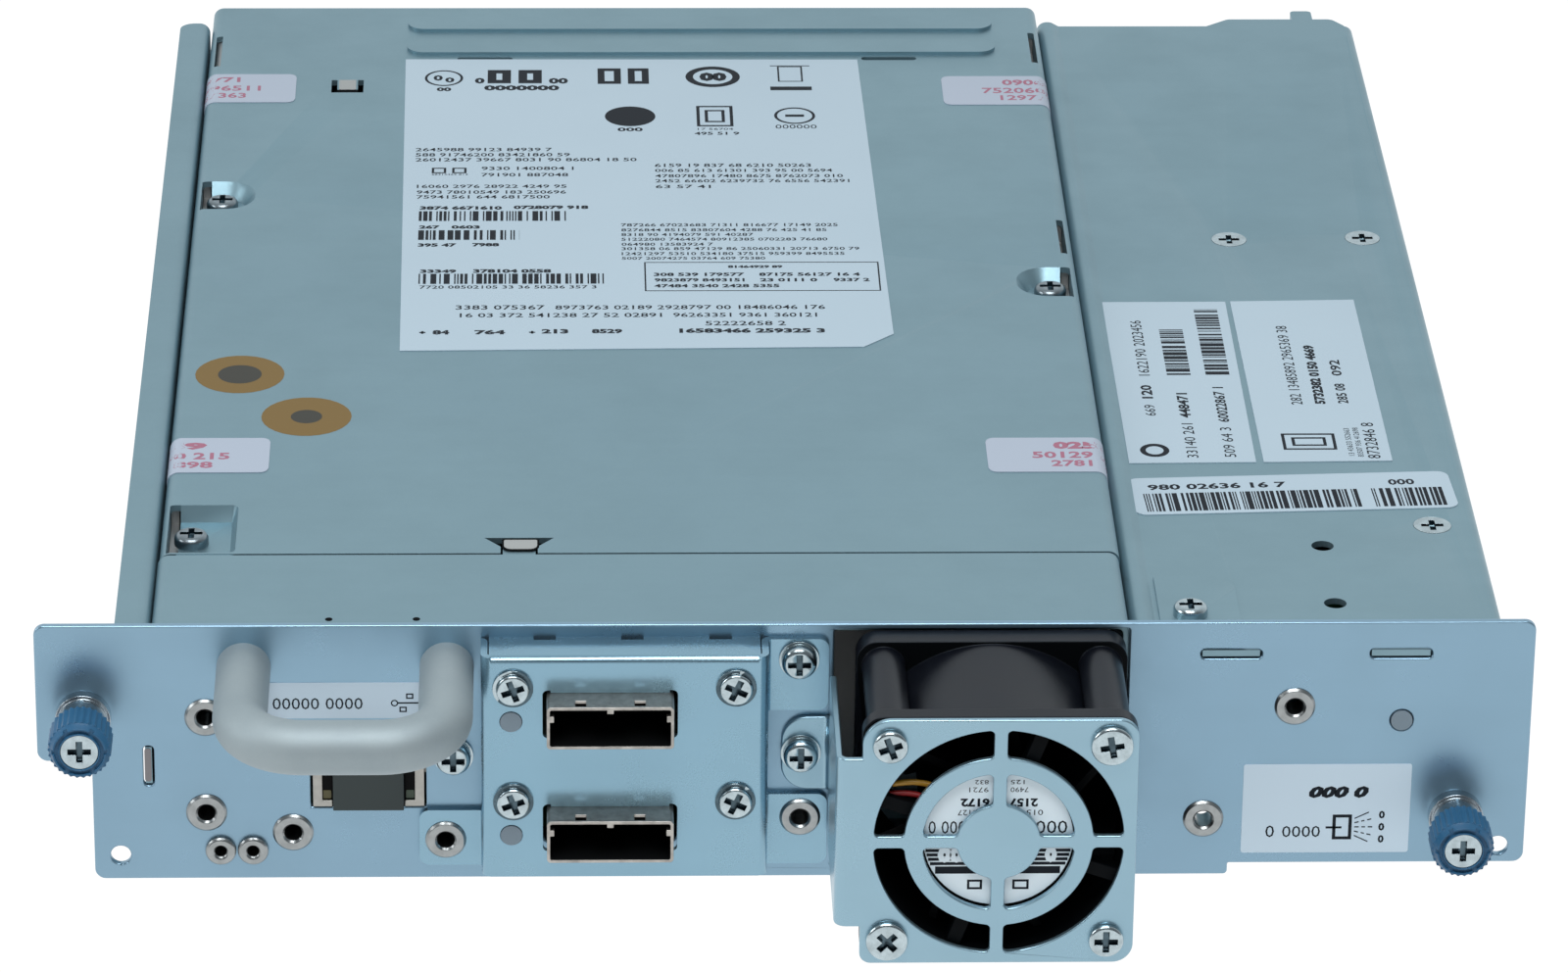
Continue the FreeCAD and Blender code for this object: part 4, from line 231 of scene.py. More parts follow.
def sheet_zinc(name, plain, cool, warm, rough):
    """Plated sheet: slow drifts of tone, faint rolled streaks and a fine grain."""
    sheet = Finish(name, Metallic=0.86)
    drift = sheet.ramp(sheet.noise(70, 2.0), 0.35, 0.68)
    cloud = sheet.ramp(sheet.noise(16, 3.0, 0.6), 0.38, 0.75)
    streak = sheet.noise(3.0, 3.0, 0.6, (0.04, 1, 1))
    grain = sheet.noise(0.35, 2.0, 0.6)
    tone = sheet.mix(drift * 0.55, plain, cool)
    tone = sheet.mix(cloud * 0.3, tone, warm)
    tone = sheet.mix(sheet.ramp(streak, 0.35, 0.8) * 0.08, tone, [c * 0.82 for c in plain])
    sheet.set(Base_Color=tone, Roughness=rough + 0.10 * cloud + 0.08 * grain)
    sheet.bump(grain, 0.003)
    return sheet


def eased(node, finish, edge, rolled=None):
    """The CAD node's shape with its cut edges eased by edge millimetres, and smooth curves.
    rolled gives some edges a larger radius first: a test on their ends, in mm, and the radius.
    """
    piece = bpy.data.objects.new(node + "_finished", frame["nodes"][node].data.copy())
    bpy.context.scene.collection.objects.link(piece)
    form = bmesh.new()
    form.from_mesh(piece.data)
    bmesh.ops.remove_doubles(form, verts=form.verts, dist=WELD)
    bmesh.ops.dissolve_limit(form, angle_limit=math.radians(COPLANAR),
                             verts=form.verts, edges=form.edges)
    if rolled:
        test, radius = rolled
        bends = [e for e in form.edges if all(test(*(v.co / MM)) for v in e.verts)]
        bmesh.ops.bevel(form, geom=bends, offset=radius * MM, segments=6, profile=0.5,
                        affect="EDGES")
    form.to_mesh(piece.data)
    form.free()
    piece.data.materials.clear()
    piece.data.materials.append(finish.material)
    for face in piece.data.polygons:
        face.use_smooth = True
    piece.data.set_sharp_from_angle(angle=math.radians(CRISP))
    if edge:
        bevel = piece.modifiers.new("broken_edge", "BEVEL")
        bevel.width = edge * MM
        bevel.segments = 2
        bevel.limit_method = "ANGLE"
        bevel.angle_limit = math.radians(CRISP)
        bevel.harden_normals = True
        bevel.use_clamp_overlap = edge < WIDE_EDGE
    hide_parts(node)
    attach(piece, body_of[node])
    return piece


body_zinc = sheet_zinc("body_zinc", (0.222, 0.350, 0.410), (0.250, 0.385, 0.442),
                       (0.232, 0.340, 0.385), 0.38)
for node, edge in (("sled_tray", 0.15), ("drive_cover", 0.1), ("bay_cover", 0.1),
                   ("side_cover", 0.16)):
    eased(node, body_zinc, edge)


# ---------------------------------------------------------------- connector panel and brackets
# Zinc-plated steel with a blue passivation, pierced and folded. The two brackets are cut from
# brighter stock, so they stand out a little against the panel.
TOUCH = 0.02                            # a corner this near a face lies on it
PORT_ROLL, FAN_ROLL = 1.2, 1.6          # outside radii of the brackets' open bends
FAN_FOOT = (12.0, 1.02)                 # how far across and back the fan bracket's bend reaches


def box_mm(node):
    """A CAD node's two corners, in millimetres."""
    return [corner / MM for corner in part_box(node)]


panel_zinc = sheet_zinc("panel_zinc", (0.240, 0.385, 0.500), (0.262, 0.412, 0.530),
                        (0.245, 0.38, 0.475), 0.24)
port_zinc = sheet_zinc("port_zinc", (0.25, 0.42, 0.53), (0.28, 0.455, 0.56),
                       (0.26, 0.42, 0.52), 0.18)
fan_zinc = sheet_zinc("fan_zinc", (0.285, 0.448, 0.545), (0.315, 0.48, 0.575),
                      (0.285, 0.44, 0.515), 0.24)
port_low, port_high = box_mm("port_bracket")
guard_low = box_mm("fan_bracket")[0]


def at_port_bend(x, y, z):
    """The bend between the port bracket's face and its top."""
    return z > port_high.z - TOUCH and y < port_low.y + TOUCH


def at_fan_bend(x, y, z):
    """The fan bracket's lower left edge."""
    return (z < guard_low.z + TOUCH and x < guard_low.x + FAN_FOOT[0]
            and y < guard_low.y + FAN_FOOT[1])


eased("rear_panel", panel_zinc, 0.28)
eased("port_bracket", port_zinc, 0.16, rolled=(at_port_bend, PORT_ROLL))
eased("fan_bracket", fan_zinc, 0.28, rolled=(at_fan_bend, FAN_ROLL))


# ---------------------------------------------------------------- screws, inserts, ferrules
# Screws are bright zinc over steel with crisp recesses; their cross recesses are painted dark as
# painted shade. The clinch inserts are duller, with a turned face. The ferrules and the screws'
# springs are plain bright steel.
RECESS_REACH, RECESS_DEPTH = 1.8, 1.1   # how far a cross recess goes from its axis, and how deep
RECESS_FLOOR = 0.6                      # a level face deeper than this is a recess's floor
STEEP, FLAT_FACE = 0.4, 0.9             # a face's share of the axis: walls below, floors above


def turned_steel(name, plain, rough, spread):
    """Small turned or headed steel: fine uneven plating over a plain tone."""
    steel = Finish(name, Metallic=1.0)
    patch = steel.noise(1.6, 3.0, 0.6)
    fleck = steel.ramp(patch, 0.35, 0.7)
    steel.set(Base_Color=steel.mix(fleck, plain, [c * spread for c in plain]),
              Roughness=rough + 0.12 * patch)
    return steel


bright_zinc = turned_steel("bright_zinc", (0.50, 0.60, 0.64), 0.14, 0.74)
flush_zinc = turned_steel("flush_zinc", (0.26, 0.31, 0.34), 0.24, 0.78)
# painted shade: the dark colour laid in the screws' cross recesses
recess_painted_shade = turned_steel("recess_painted_shade", (0.10, 0.15, 0.18), 0.22, 0.6)
insert_steel = turned_steel("insert_steel", (0.36, 0.385, 0.39), 0.24, 0.80)
ferrule_steel = turned_steel("ferrule_steel", (0.50, 0.56, 0.60), 0.18, 0.80)
spring_steel = turned_steel("spring_steel", (0.40, 0.42, 0.44), 0.25, 0.85)
bearing_steel = turned_steel("bearing_steel", (0.55, 0.55, 0.54), 0.20, 0.85)


def shade_recess(piece, axis):
    """Paints the faces in each head's cross recess dark, as painted shade. axis points out of the
    head.
    A node holds several screws, so its vertices are first sorted into loose parts."""
    piece.data.materials.append(recess_painted_shade.material)
    form = bmesh.new()
    form.from_mesh(piece.data)
    axis, rest = Vector(axis), set(form.verts)
    while rest:
        screw, reached = set(), [rest.pop()]
        while reached:
            vert = reached.pop()
            screw.add(vert)
            fresh = {e.other_vert(vert) for e in vert.link_edges} & rest
            rest -= fresh
            reached += fresh
        low = Vector([min(v.co[k] for v in screw) for k in range(3)])
        high = Vector([max(v.co[k] for v in screw) for k in range(3)])
        head, middle = max(v.co.dot(axis) for v in screw), (low + high) / 2
        for face in {f for v in screw for f in v.link_faces}:
            at = face.calc_center_median()
            deep = (head - at.dot(axis)) / MM
            out = at - middle
            wide = (out - out.dot(axis) * axis).length / MM
            outward = face.normal.dot(axis)
            is_wall = abs(outward) < STEEP
            is_floor = outward > FLAT_FACE and deep > RECESS_FLOOR
            if wide < RECESS_REACH and deep < RECESS_DEPTH and (is_wall or is_floor):
                face.material_index = 1
    form.to_mesh(piece.data)
    form.free()


for node in ("port_screws", "panel_screws", "fan_screws", "left_captive_screw",
             "right_captive_screw"):
    shade_recess(eased(node, bright_zinc, 0.10), (0, -1, 0))
shade_recess(eased("lid_screws", bright_zinc, 0.10), (0, 0, 1))
shade_recess(eased("cover_screws", flush_zinc, 0.10), (0, 0, 1))
for node in ("clinch_inserts", "small_inserts"):
    eased(node, insert_steel, 0.12)
for node in ("left_ferrule", "right_ferrule"):
    eased(node, ferrule_steel, 0.10)


# ---------------------------------------------------------------- captive knobs
# Moulded in mid-blue plastic with fine flutes round the rim and an eggshell gloss. Each is
# pressed onto its screw.
knob_blue = Finish("knob_blue", Roughness=0.36, Specular_IOR_Level=0.3)
knob_cloud = knob_blue.noise(2.5, 2.0)
knob_blue.set(Base_Color=knob_blue.mix(knob_cloud, (0.020, 0.095, 0.195), (0.028, 0.115, 0.225)))
for node in ("left_knob", "right_knob"):
    eased(node, knob_blue, 0.12)


# ---------------------------------------------------------------- pull handle
# A round aluminium bar bent twice, blasted to an even satin and clear-anodised, screwed on
# from inside the panel.
handle_metal = Finish("handle_metal", Metallic=0.82, Specular_IOR_Level=0.3)
frost = handle_metal.noise(0.5, 3.0, 0.7)
smear = handle_metal.ramp(handle_metal.noise(12, 3.0, 0.6), 0.35, 0.75)
handle_metal.set(Base_Color=handle_metal.mix(smear, (0.375, 0.44, 0.465), (0.335, 0.40, 0.43)),
                 Roughness=0.60 + 0.10 * frost)
handle_metal.bump(frost, 0.01)
eased("pull_handle", handle_metal, 0.0)


# ---------------------------------------------------------------- ports and jack
# The receptacles' sleeves are nickel over stamped steel, a warm dark grey; past the mouth, the
# cage's faces inside the sleeve are painted black as painted shade. What stands inside them is
# black moulding. The jack's shell is tin plate, and its stopper is grey-green nylon.
SLEEVE_WALL = 0.4
SLEEVE_LIP = 1.6            # how far back the sleeve's mouth stays bright
nickel = turned_steel("nickel", (0.50, 0.485, 0.455), 0.38, 0.66)
tin = turned_steel("tin", (0.40, 0.40, 0.375), 0.30, 0.85)
# black moulding, and painted shade inside the receptacles' sleeves
black_moulding_and_painted_shade = Finish("black_moulding_and_painted_shade", Base_Color=(0.003, 0.0035, 0.004), Roughness=0.6,
                        Specular_IOR_Level=0.1)
plug_nylon = Finish("plug_nylon", Base_Color=(0.028, 0.040, 0.041), Roughness=0.45,
                    Specular_IOR_Level=0.3)


def darkened(piece, finish, test):
    """Gives the faces whose centre, in millimetres, passes the test a second finish."""
    piece.data.materials.append(finish.material)
    for face in piece.data.polygons:
        if test(face.center / MM):
            face.material_index = 1


# the cage's faces inside the sleeve, past its mouth, are painted black as painted shade
for node in ("upper_port_cage", "lower_port_cage"):
    low, high = box_mm(node)
    darkened(eased(node, nickel, 0.12), black_moulding_and_painted_shade, lambda at: (
        at.y > low.y + SLEEVE_LIP
        and low.x + SLEEVE_WALL < at.x < high.x - SLEEVE_WALL
        and low.z + SLEEVE_WALL < at.z < high.z - SLEEVE_WALL))
eased("network_jack", tin, 0.08)
eased("dust_plug", plug_nylon, 0.12)


# ---------------------------------------------------------------- fan
# Black glass-filled plastic with a slight sheen and a little dust. The bore and the turning
# hub with its blades are a duller black.
BORE = 18.6
fan_black = Finish("fan_black", Specular_IOR_Level=0.22, Specular_Tint=(0.72, 0.86, 1.0))
dust = fan_black.ramp(fan_black.noise(9, 4.0, 0.7), 0.4, 0.8)
fan_black.set(Base_Color=fan_black.mix(dust, (0.004, 0.005, 0.008), (0.008, 0.010, 0.015)),
              Roughness=0.30 + 0.10 * dust)
fan_black.bump(fan_black.noise(0.25, 2.0, 0.6), 0.012)
rotor_black = Finish("rotor_black", Base_Color=(0.003, 0.004, 0.005), Roughness=0.5,
                     Specular_IOR_Level=0.05)
housing_low, housing_high = box_mm("fan_frame")
fan_axis = (housing_low + housing_high) / 2
darkened(eased("fan_frame", fan_black, 0.2), rotor_black,
         lambda at: math.hypot(at.x - fan_axis.x, at.z - fan_axis.z) < BORE)
eased("fan_rotor", rotor_black, 0.1)


# ---------------------------------------------------------------- pieces inside
# Castings, deck, boards, windings and moulded wheels keep their plain shapes and take simple
# finishes. The two springs sit between knob and ferrule, and each gets a mesh of its own; on the
# real sled a spring shortens as its knob is pushed in, but here it keeps its length.
def coat(finish, *nodes):
    """Gives CAD nodes a finish and leaves their shape as it is."""
    for node in nodes:
        for held in frame["nodes"][node].material_slots:
            held.link = "OBJECT"
            held.material = finish.material


cast = Finish("cast_aluminium", Base_Color=(0.42, 0.43, 0.43), Metallic=0.9, Roughness=0.5)
deck = Finish("deck_steel", Base_Color=(0.45, 0.46, 0.46), Metallic=1.0, Roughness=0.32)
mask = Finish("solder_mask", Base_Color=(0.010, 0.075, 0.035), Roughness=0.35)
copper = Finish("winding", Base_Color=(0.42, 0.17, 0.07), Metallic=0.8, Roughness=0.4)
nylon = Finish("grey_nylon", Base_Color=(0.22, 0.23, 0.22), Roughness=0.5)
window = Finish("light_window", Base_Color=(0.165, 0.225, 0.275), Roughness=0.3)
coat(cast, "drive_base", "tape_head")
coat(deck, "tape_deck")
coat(mask, "port_board", "jack_board", "main_board", "side_board")
coat(copper, "takeup_motor", "supply_motor")
coat(nylon, "takeup_reel", "supply_clutch", "loader_gear", "threader_arm")
coat(rotor_black, "fan_stator")
coat(black_moulding_and_painted_shade, "upper_port_contacts", "lower_port_contacts", "jack_insert", "dock_connector",
     "tape_cradle")
coat(bearing_steel, "fan_bearings", "guide_roller_1", "guide_roller_2", "guide_roller_3",
     "guide_roller_4")
coat(bright_zinc, "drive_screws", "handle_screws")
coat(insert_steel, "board_standoffs", "lid_standoffs")
coat(window, "light_pipes")
for side in ("left", "right"):              # a knob goes 3.4 mm in
    coil = eased(side + "_spring", spring_steel, 0.0)
    near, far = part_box(side + "_spring")
    length = far.y - near.y
    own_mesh(coil)


# ---------------------------------------------------------------- labels: film and print
# Polyester film 0.1 mm thick with a satin face. Print is a raised layer of ink, and its words
# are only plain figures. A label's own millimetres run along its plane's two directions.
FILM, INK = 0.10, 0.012
RIDGE = 0.8                                     # how far the side cover's ridge stands up
CORNER_STEPS, DISC_STEPS, RING_STEPS = 8, 32, 30
SMALL_PRINT = 0.72                              # a figure's width over its height
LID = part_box("bay_cover")[1].z
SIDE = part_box("side_cover")[1].z - RIDGE * MM
draw = np.random.default_rng(11)


def plane(origin, along, up):
    """Carries label millimetres (u, v, w) to metres: origin + u along + v up + w outward."""
    along, up = Vector(along), Vector(up)
    turn = Matrix((along, up, along.cross(up))).transposed().to_4x4()
    return Matrix.Translation(Vector(origin)) @ turn @ Matrix.Scale(MM, 4)


def moved(x, y, z, matrix):
    """The same plane, moved by millimetres of the object's own axes."""
    return Matrix.Translation(Vector((x, y, z)) * MM) @ matrix


def circle(x, y, rx, ry, steps):
    """Points round an ellipse, the first one on its right."""
    around = np.linspace(0, 2 * math.pi, steps + 1)[:-1]
    return [(x + rx * math.cos(a), y + ry * math.sin(a)) for a in around]


def rounded(x0, x1, y0, y1, radii):
    """A rectangle's outline with an arc at each corner that has a radius, from the lower left."""
    points = []
    corners = ((x0, y0, 180), (x1, y0, 270), (x1, y1, 0), (x0, y1, 90))
    for (x, y, start), r in zip(corners, radii):
        cx, cy = x + (r if x == x0 else -r), y + (r if y == y0 else -r)
        for k in range(CORNER_STEPS + 1 if r else 1):
            a = math.radians(start + 90 * k / CORNER_STEPS)
            points.append((cx + r * math.cos(a), cy + r * math.sin(a)))
    return points


def prism(form, outline, low, high):
    """Adds a closed flat solid on an outline, from one level to another, to a bmesh."""
    rings = [[form.verts.new((*p, level)) for p in outline] for level in (low, high)]
    form.faces.new(rings[0][::-1])
    form.faces.new(rings[1])
    n = len(outline)
    for i in range(n):
        form.faces.new((rings[0][i], rings[0][(i + 1) % n], rings[1][(i + 1) % n], rings[1][i]))


def stick(name, form, matrix, finish):
    """Makes the bmesh a piece on the sled, placed by the matrix."""
    form.transform(matrix)
    bmesh.ops.recalc_face_normals(form, faces=form.faces)
    mesh = bpy.data.meshes.new(name)
    form.to_mesh(mesh)
    form.free()
    mesh.materials.append(finish.material)
    piece = bpy.data.objects.new(name, mesh)
    bpy.context.scene.collection.objects.link(piece)
    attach(piece, "sled")
    return piece


def film(name, outline, matrix, finish):
    """A flat label of the given outline."""
    form = bmesh.new()
    prism(form, outline, 0, FILM)
    return stick(name, form, matrix, finish)


class Print:
    """Everything printed on one label in one ink."""

    def __init__(self):
        self.form = bmesh.new()

    def patch(self, outline):
        """One flat piece of ink on the film's face."""
        prism(self.form, outline, FILM, FILM + INK)

    def bar(self, x0, x1, y0, y1):
        self.patch(((x0, y0), (x1, y0), (x1, y1), (x0, y1)))

    def outline(self, x0, x1, y0, y1, line):
        """A rectangle drawn in a line of this width, inside its four sides."""
        self.bar(x0, x1, y0, y0 + line)
        self.bar(x0, x1, y1 - line, y1)
        self.bar(x0, x0 + line, y0 + line, y1 - line)
        self.bar(x1 - line, x1, y0 + line, y1 - line)

    def disc(self, x, y, rx, ry):
        self.patch(circle(x, y, rx, ry, DISC_STEPS))

    def ring(self, x, y, rx, ry, line):
        """A ring of this line width, as short straight bars end to end."""
        around = np.radians(np.linspace(0, 360, RING_STEPS + 1))
        for a, b in zip(around[:-1], around[1:]):
            outer = [(x + rx * math.cos(t), y + ry * math.sin(t)) for t in (a, b)]
            inner = [(x + (rx - line) * math.cos(t), y + (ry - line) * math.sin(t))
                     for t in (b, a)]
            self.patch(outer + inner)

    def code(self, x0, x1, y0, y1, step=0.24):
        """Upright bars of one to four steps with gaps of one to three."""
        x = x0
        while x < x1:
            wide = min(step * draw.choice((1, 1, 2, 2, 3, 4)), x1 - x)
            self.bar(x, x + wide, y0, y1)
            x += wide + step * draw.choice((1, 1, 1, 2, 3))

    def figures(self, text, x0, x1, y, high, lean=0.0, heavy=0.0):
        """Plain figures fitted between x0 and x1, standing on y. heavy thickens their strokes."""
        curve = bpy.data.curves.new("figures", "FONT")
        curve.body = text
        curve.extrude = INK / 2
        curve.offset = heavy
        curve.resolution_u = 2
        curve.shear = lean
        drawn = bpy.data.objects.new("figures", curve)
        mesh = bpy.data.meshes.new_from_object(drawn)
        across = [v.co.x for v in mesh.vertices]
        up = [v.co.y for v in mesh.vertices]
        wide, tall = max(across) - min(across), max(up) - min(up)
        scale = Matrix.Diagonal(((x1 - x0) / wide, high / tall, 1, 1))
        shift = Matrix.Translation((x0, y, FILM + INK / 2))
        mesh.transform(shift @ scale @ Matrix.Translation((-min(across), -min(up), 0)))
        self.form.from_mesh(mesh)
        bpy.data.objects.remove(drawn)
        bpy.data.curves.remove(curve)
        bpy.data.meshes.remove(mesh)

    def line(self, x0, x1, y, high, heavy=0.0):
        """A line of small print: groups of figures as wide as words, drawn at random."""
        room = int((x1 - x0) / (SMALL_PRINT * high))
        groups = []
        while room > 0:
            size = min(room, int(draw.integers(2, 9)))
            groups.append("".join(str(d) for d in draw.integers(0, 10, size)))
            room -= size + 1
        self.figures(" ".join(groups), x0, x1, y, high, heavy=heavy)

    def stick(self, name, matrix, finish):
        return stick(name, self.form, matrix, finish)


def film_finish(name, plain):
    """Satin film with the faintest drift of tone."""
    made = Finish(name, Specular_IOR_Level=0.4)
    drift = made.noise(30, 2.0)
    made.set(Base_Color=made.mix(drift, plain, [c * 0.95 for c in plain]),
             Roughness=0.42 + 0.08 * drift)
    return made


white_film = film_finish("white_film", (0.40, 0.51, 0.59))
cool_film = film_finish("cool_film", (0.44, 0.55, 0.64))
front_film = film_finish("front_film", (0.56, 0.70, 0.81))
seal_film = film_finish("seal_film", (0.37, 0.43, 0.52))
black_ink = Finish("black_ink", Base_Color=(0.010, 0.014, 0.020), Roughness=0.5,
                   Specular_IOR_Level=0.08)
red_ink = Finish("red_ink", Base_Color=(0.33, 0.13, 0.19), Roughness=0.5,
                 Specular_IOR_Level=0.2)


# ---------------------------------------------------------------- main label on the lid
# A sheet of white film laid on by hand, with one corner cut off. Two rows of plain shapes
# stand at its top, then two columns of small print, three bar codes and a line at the foot.
top_plane = plane((0, FACE, LID), (1, 0, 0), (0, 1, 0))
film("rating_label", [(-58.6, 98.0), (15.2, 99.2), (20.1, 104.1), (18.6, 218.3), (-59.5, 218.6)],
     top_plane, white_film)
rating = Print()
# the shapes of the far row, from the left
rating.ring(-52.8, 210.1, 3.3, 3.5, 0.45)
rating.figures("0", -54.6, -53.0, 209.0, 2.4, heavy=0.04)
rating.figures("0", -52.6, -51.0, 208.2, 2.2, heavy=0.04)
rating.figures("00", -54.0, -51.5, 204.3, 1.7, heavy=0.05)
rating.outline(-45.3, -41.3, 207.8, 213.7, 1.5)
rating.outline(-40.0, -36.0, 207.8, 213.7, 1.5)
rating.figures("0", -47.5, -45.8, 207.7, 2.5, heavy=0.05)
rating.figures("00", -34.8, -31.5, 207.6, 2.5, heavy=0.05)
rating.figures("0000000", -45.9, -33.0, 204.6, 2.3, heavy=0.05)
rating.outline(-26.4, -22.4, 207.5, 214.4, 1.2)
rating.outline(-21.2, -17.6, 207.5, 214.4, 1.2)
rating.ring(-6.6, 210.6, 4.7, 4.6, 1.3)
rating.figures("00", -8.9, -4.2, 208.7, 3.8, heavy=0.07)
rating.outline(4.6, 8.9, 208.4, 215.2, 0.3)
rating.bar(3.4, 10.2, 215.3, 215.6)
rating.bar(3.2, 10.3, 204.6, 206.2)
# the near row
rating.disc(-21.0, 193.2, 4.3, 4.3)
rating.figures("000", -23.2, -18.9, 186.7, 1.6, heavy=0.03)
rating.outline(-9.7, -3.5, 188.8, 197.7, 0.55)
rating.outline(-8.3, -4.9, 190.6, 195.9, 0.55)
rating.line(-9.6, -3.6, 187.2, 0.9)
rating.line(-10.2, -2.6, 185.1, 1.3, heavy=0.02)
rating.ring(7.0, 193.4, 3.5, 3.6, 0.5)
rating.bar(5.4, 8.6, 192.9, 193.9)
rating.figures("000000", 3.6, 10.6, 187.8, 1.7)
# a pair of small squares, then the columns: from x, to x, y, height of the figures
rating.outline(-54.4, -52.0, 168.9, 171.2, 0.4)
rating.outline(-51.0, -48.6, 168.9, 171.2, 0.4)
rating.line(-54.4, -48.4, 168.1, 0.6)
for x0, x1, y, high in (
        (-57.2, -34.3, 178.2, 1.45), (-57.2, -31.3, 176.0, 1.45), (-57.2, -20.1, 173.9, 1.45),
        (-46.1, -30.7, 170.2, 1.45), (-46.1, -31.6, 167.5, 1.45), (-56.8, -31.9, 162.7, 1.4),
        (-56.8, -32.0, 160.3, 1.4), (-56.8, -34.7, 158.3, 1.4), (-17.1, 9.1, 171.4, 1.45),
        (-17.1, 12.6, 169.3, 1.3), (-17.1, 14.3, 167.0, 1.35), (-17.1, 15.3, 164.9, 1.35),
        (-17.1, -7.9, 162.5, 1.4), (-23.0, 12.7, 146.7, 1.25), (-23.0, 10.8, 144.7, 1.2),
        (-23.0, -1.3, 142.8, 1.2), (-23.0, 10.8, 140.9, 1.2), (-23.0, -8.0, 138.9, 1.2),
        (-23.0, 15.9, 137.1, 1.2), (-23.0, 13.4, 135.1, 1.2), (-23.0, 0.4, 133.3, 1.1),
        (-55.8, -27.2, 121.9, 1.25), (-49.9, -35.6, 113.7, 1.7), (-33.9, 9.5, 113.7, 1.6),
        (-49.2, -16.8, 110.7, 1.6), (-15.0, 8.1, 110.7, 1.6), (-9.9, 3.0, 107.4, 1.7)):
    rating.line(x0, x1, y, high, heavy=0.01)
# the heavier figures beside the bar codes and along the foot
for x0, x1, y, high in (
        (-56.2, -42.6, 153.7, 1.5), (-40.7, -28.3, 153.9, 1.5), (-56.2, -52.8, 145.9, 1.4),
        (-50.9, -46.2, 145.9, 1.4), (-56.3, -50.0, 138.6, 1.4), (-47.4, -43.0, 138.7, 1.4),
        (-55.8, -49.9, 128.1, 1.4), (-47.2, -34.5, 128.1, 1.5), (-53.5, -50.8, 104.1, 1.7),
        (-46.8, -41.9, 104.1, 1.7), (-36.1, -31.8, 104.4, 1.7), (-28.1, -23.2, 104.4, 1.7),
        (-14.1, 9.2, 104.5, 1.8), (-5.8, 3.1, 129.9, 1.1)):
    rating.line(x0, x1, y, high, heavy=0.05)
for x in (-55.1, -37.6):
    rating.bar(x - 0.5, x + 0.5, 104.7, 105.1)
    rating.bar(x - 0.2, x + 0.2, 104.4, 105.4)
# small print in the ruled box, the three bar codes, and the box itself
for x0, x1, y in ((-17.9, -3.2, 126.7), (-0.8, 15.6, 126.7), (-17.8, -3.2, 124.5),
                  (-0.7, 8.6, 124.5), (11.2, 17.1, 124.5), (-17.9, 2.4, 122.2)):
    rating.line(x0, x1, y, 1.35, heavy=0.035)
rating.code(-56.3, -32.0, 149.1, 153.1)
rating.code(-56.3, -39.7, 141.4, 145.3)
rating.code(-56.0, -25.5, 123.8, 127.8)
rating.outline(-19.4, 18.8, 120.8, 132.3, 0.25)
rating.stick("rating_print", top_plane, black_ink)


# ---------------------------------------------------------------- seals and tape dots
# Brittle white seals run over the lid's edges and down its skirt, with pale red figures on
# them. Two round pieces of brown tape lie further forward over holes; their dark middles are
# painted shade of the holes.
SEAL_BEND, SEAL_DOWN, SEAL_ROUND = 1.8, 3.0, 1.5    # the lid's bend, the end below it, corners
DOT_RADIUS = 7.03


def round_edge(s, lift, flat, bend):
    """A point s millimetres along a strip that turns down a bend: how far out, how high."""
    angle = min(max((s - flat) / bend, 0.0), math.pi / 2)
    past = max(0.0, s - flat - bend * math.pi / 2)
    return (min(s, flat) + (bend + lift) * math.sin(angle),
            bend * (math.cos(angle) - 1) - past + lift * math.cos(angle))


def seal(name, y0, y1, side, edge, inner, rows):
    """A seal from inner, on the lid, over the bend at its edge and onto its skirt. side is -1
    for the left edge. A row of figures is: start, stop, height above y0, size, weight."""
    flat = abs(edge - inner) - SEAL_BEND
    arc = SEAL_BEND * math.pi / 2
    places = list(np.linspace(0, SEAL_ROUND, 7)) + list(np.linspace(SEAL_ROUND, flat, 4)[1:])
    places += list(flat + np.linspace(0, arc, 9)[1:]) + [flat + arc + SEAL_DOWN]
    form = bmesh.new()
    sections = []
    for s in places:
        inset = SEAL_ROUND - min(s, SEAL_ROUND)
        shy = SEAL_ROUND - math.sqrt(max(0.0, SEAL_ROUND ** 2 - inset ** 2))
        section = []
        for lift in (0.0, FILM):
            reach, high = round_edge(s, lift, flat, SEAL_BEND)
            for y in (y0 + shy, y1 - shy):
                section.append(form.verts.new((inner + side * reach, y, high)))
        sections.append(section)
    for a, b in zip(sections[:-1], sections[1:]):
        for p, q in ((0, 1), (1, 3), (3, 2), (2, 0)):
            form.faces.new((a[p], a[q], b[q], b[p]))
    for end in (sections[0], sections[-1]):
        form.faces.new((end[0], end[1], end[3], end[2]))
    stick(name, form, top_plane, seal_film)
    words = Print()
    for start, stop, up, size, heavy in rows:
        x0, x1 = sorted((inner + side * start, inner + side * stop))
        words.line(x0, x1, y0 + up, size, heavy)
    for vert in words.form.verts:
        reach, high = round_edge(side * (vert.co.x - inner), vert.co.z, flat, SEAL_BEND)
        vert.co.x, vert.co.z = inner + side * reach, high
    words.stick(name + "_print", top_plane, red_ink)


lid_low, lid_high = box_mm("drive_cover")
seal("far_left_seal", 199.6, 212.0, -1, lid_low.x, -78.1,
     ((9.6, 16.4, 8.8, 2.2, 0.03), (6.0, 16.6, 5.0, 2.3, 0.02), (8.4, 16.6, 1.9, 2.2, 0.02)))
seal("near_left_seal", 53.5, 65.8, -1, lid_low.x, -78.0,
     ((9.7, 16.4, 8.1, 2.5, 0.06), (6.1, 16.6, 4.6, 2.4, 0.03), (8.6, 16.6, 1.5, 2.3, 0.03)))
seal("far_right_seal", 198.2, 210.8, 1, lid_high.x, 32.7,
     ((10.4, 19.4, 8.5, 2.5, 0.03), (6.8, 19.4, 5.0, 2.4, 0.02), (9.8, 19.4, 1.9, 2.2, 0.02)))
seal("near_right_seal", 53.0, 65.2, 1, lid_high.x, 32.6,
     ((10.4, 19.4, 8.1, 2.6, 0.06), (7.0, 19.4, 4.8, 2.4, 0.03), (9.8, 19.4, 1.9, 2.2, 0.03)))

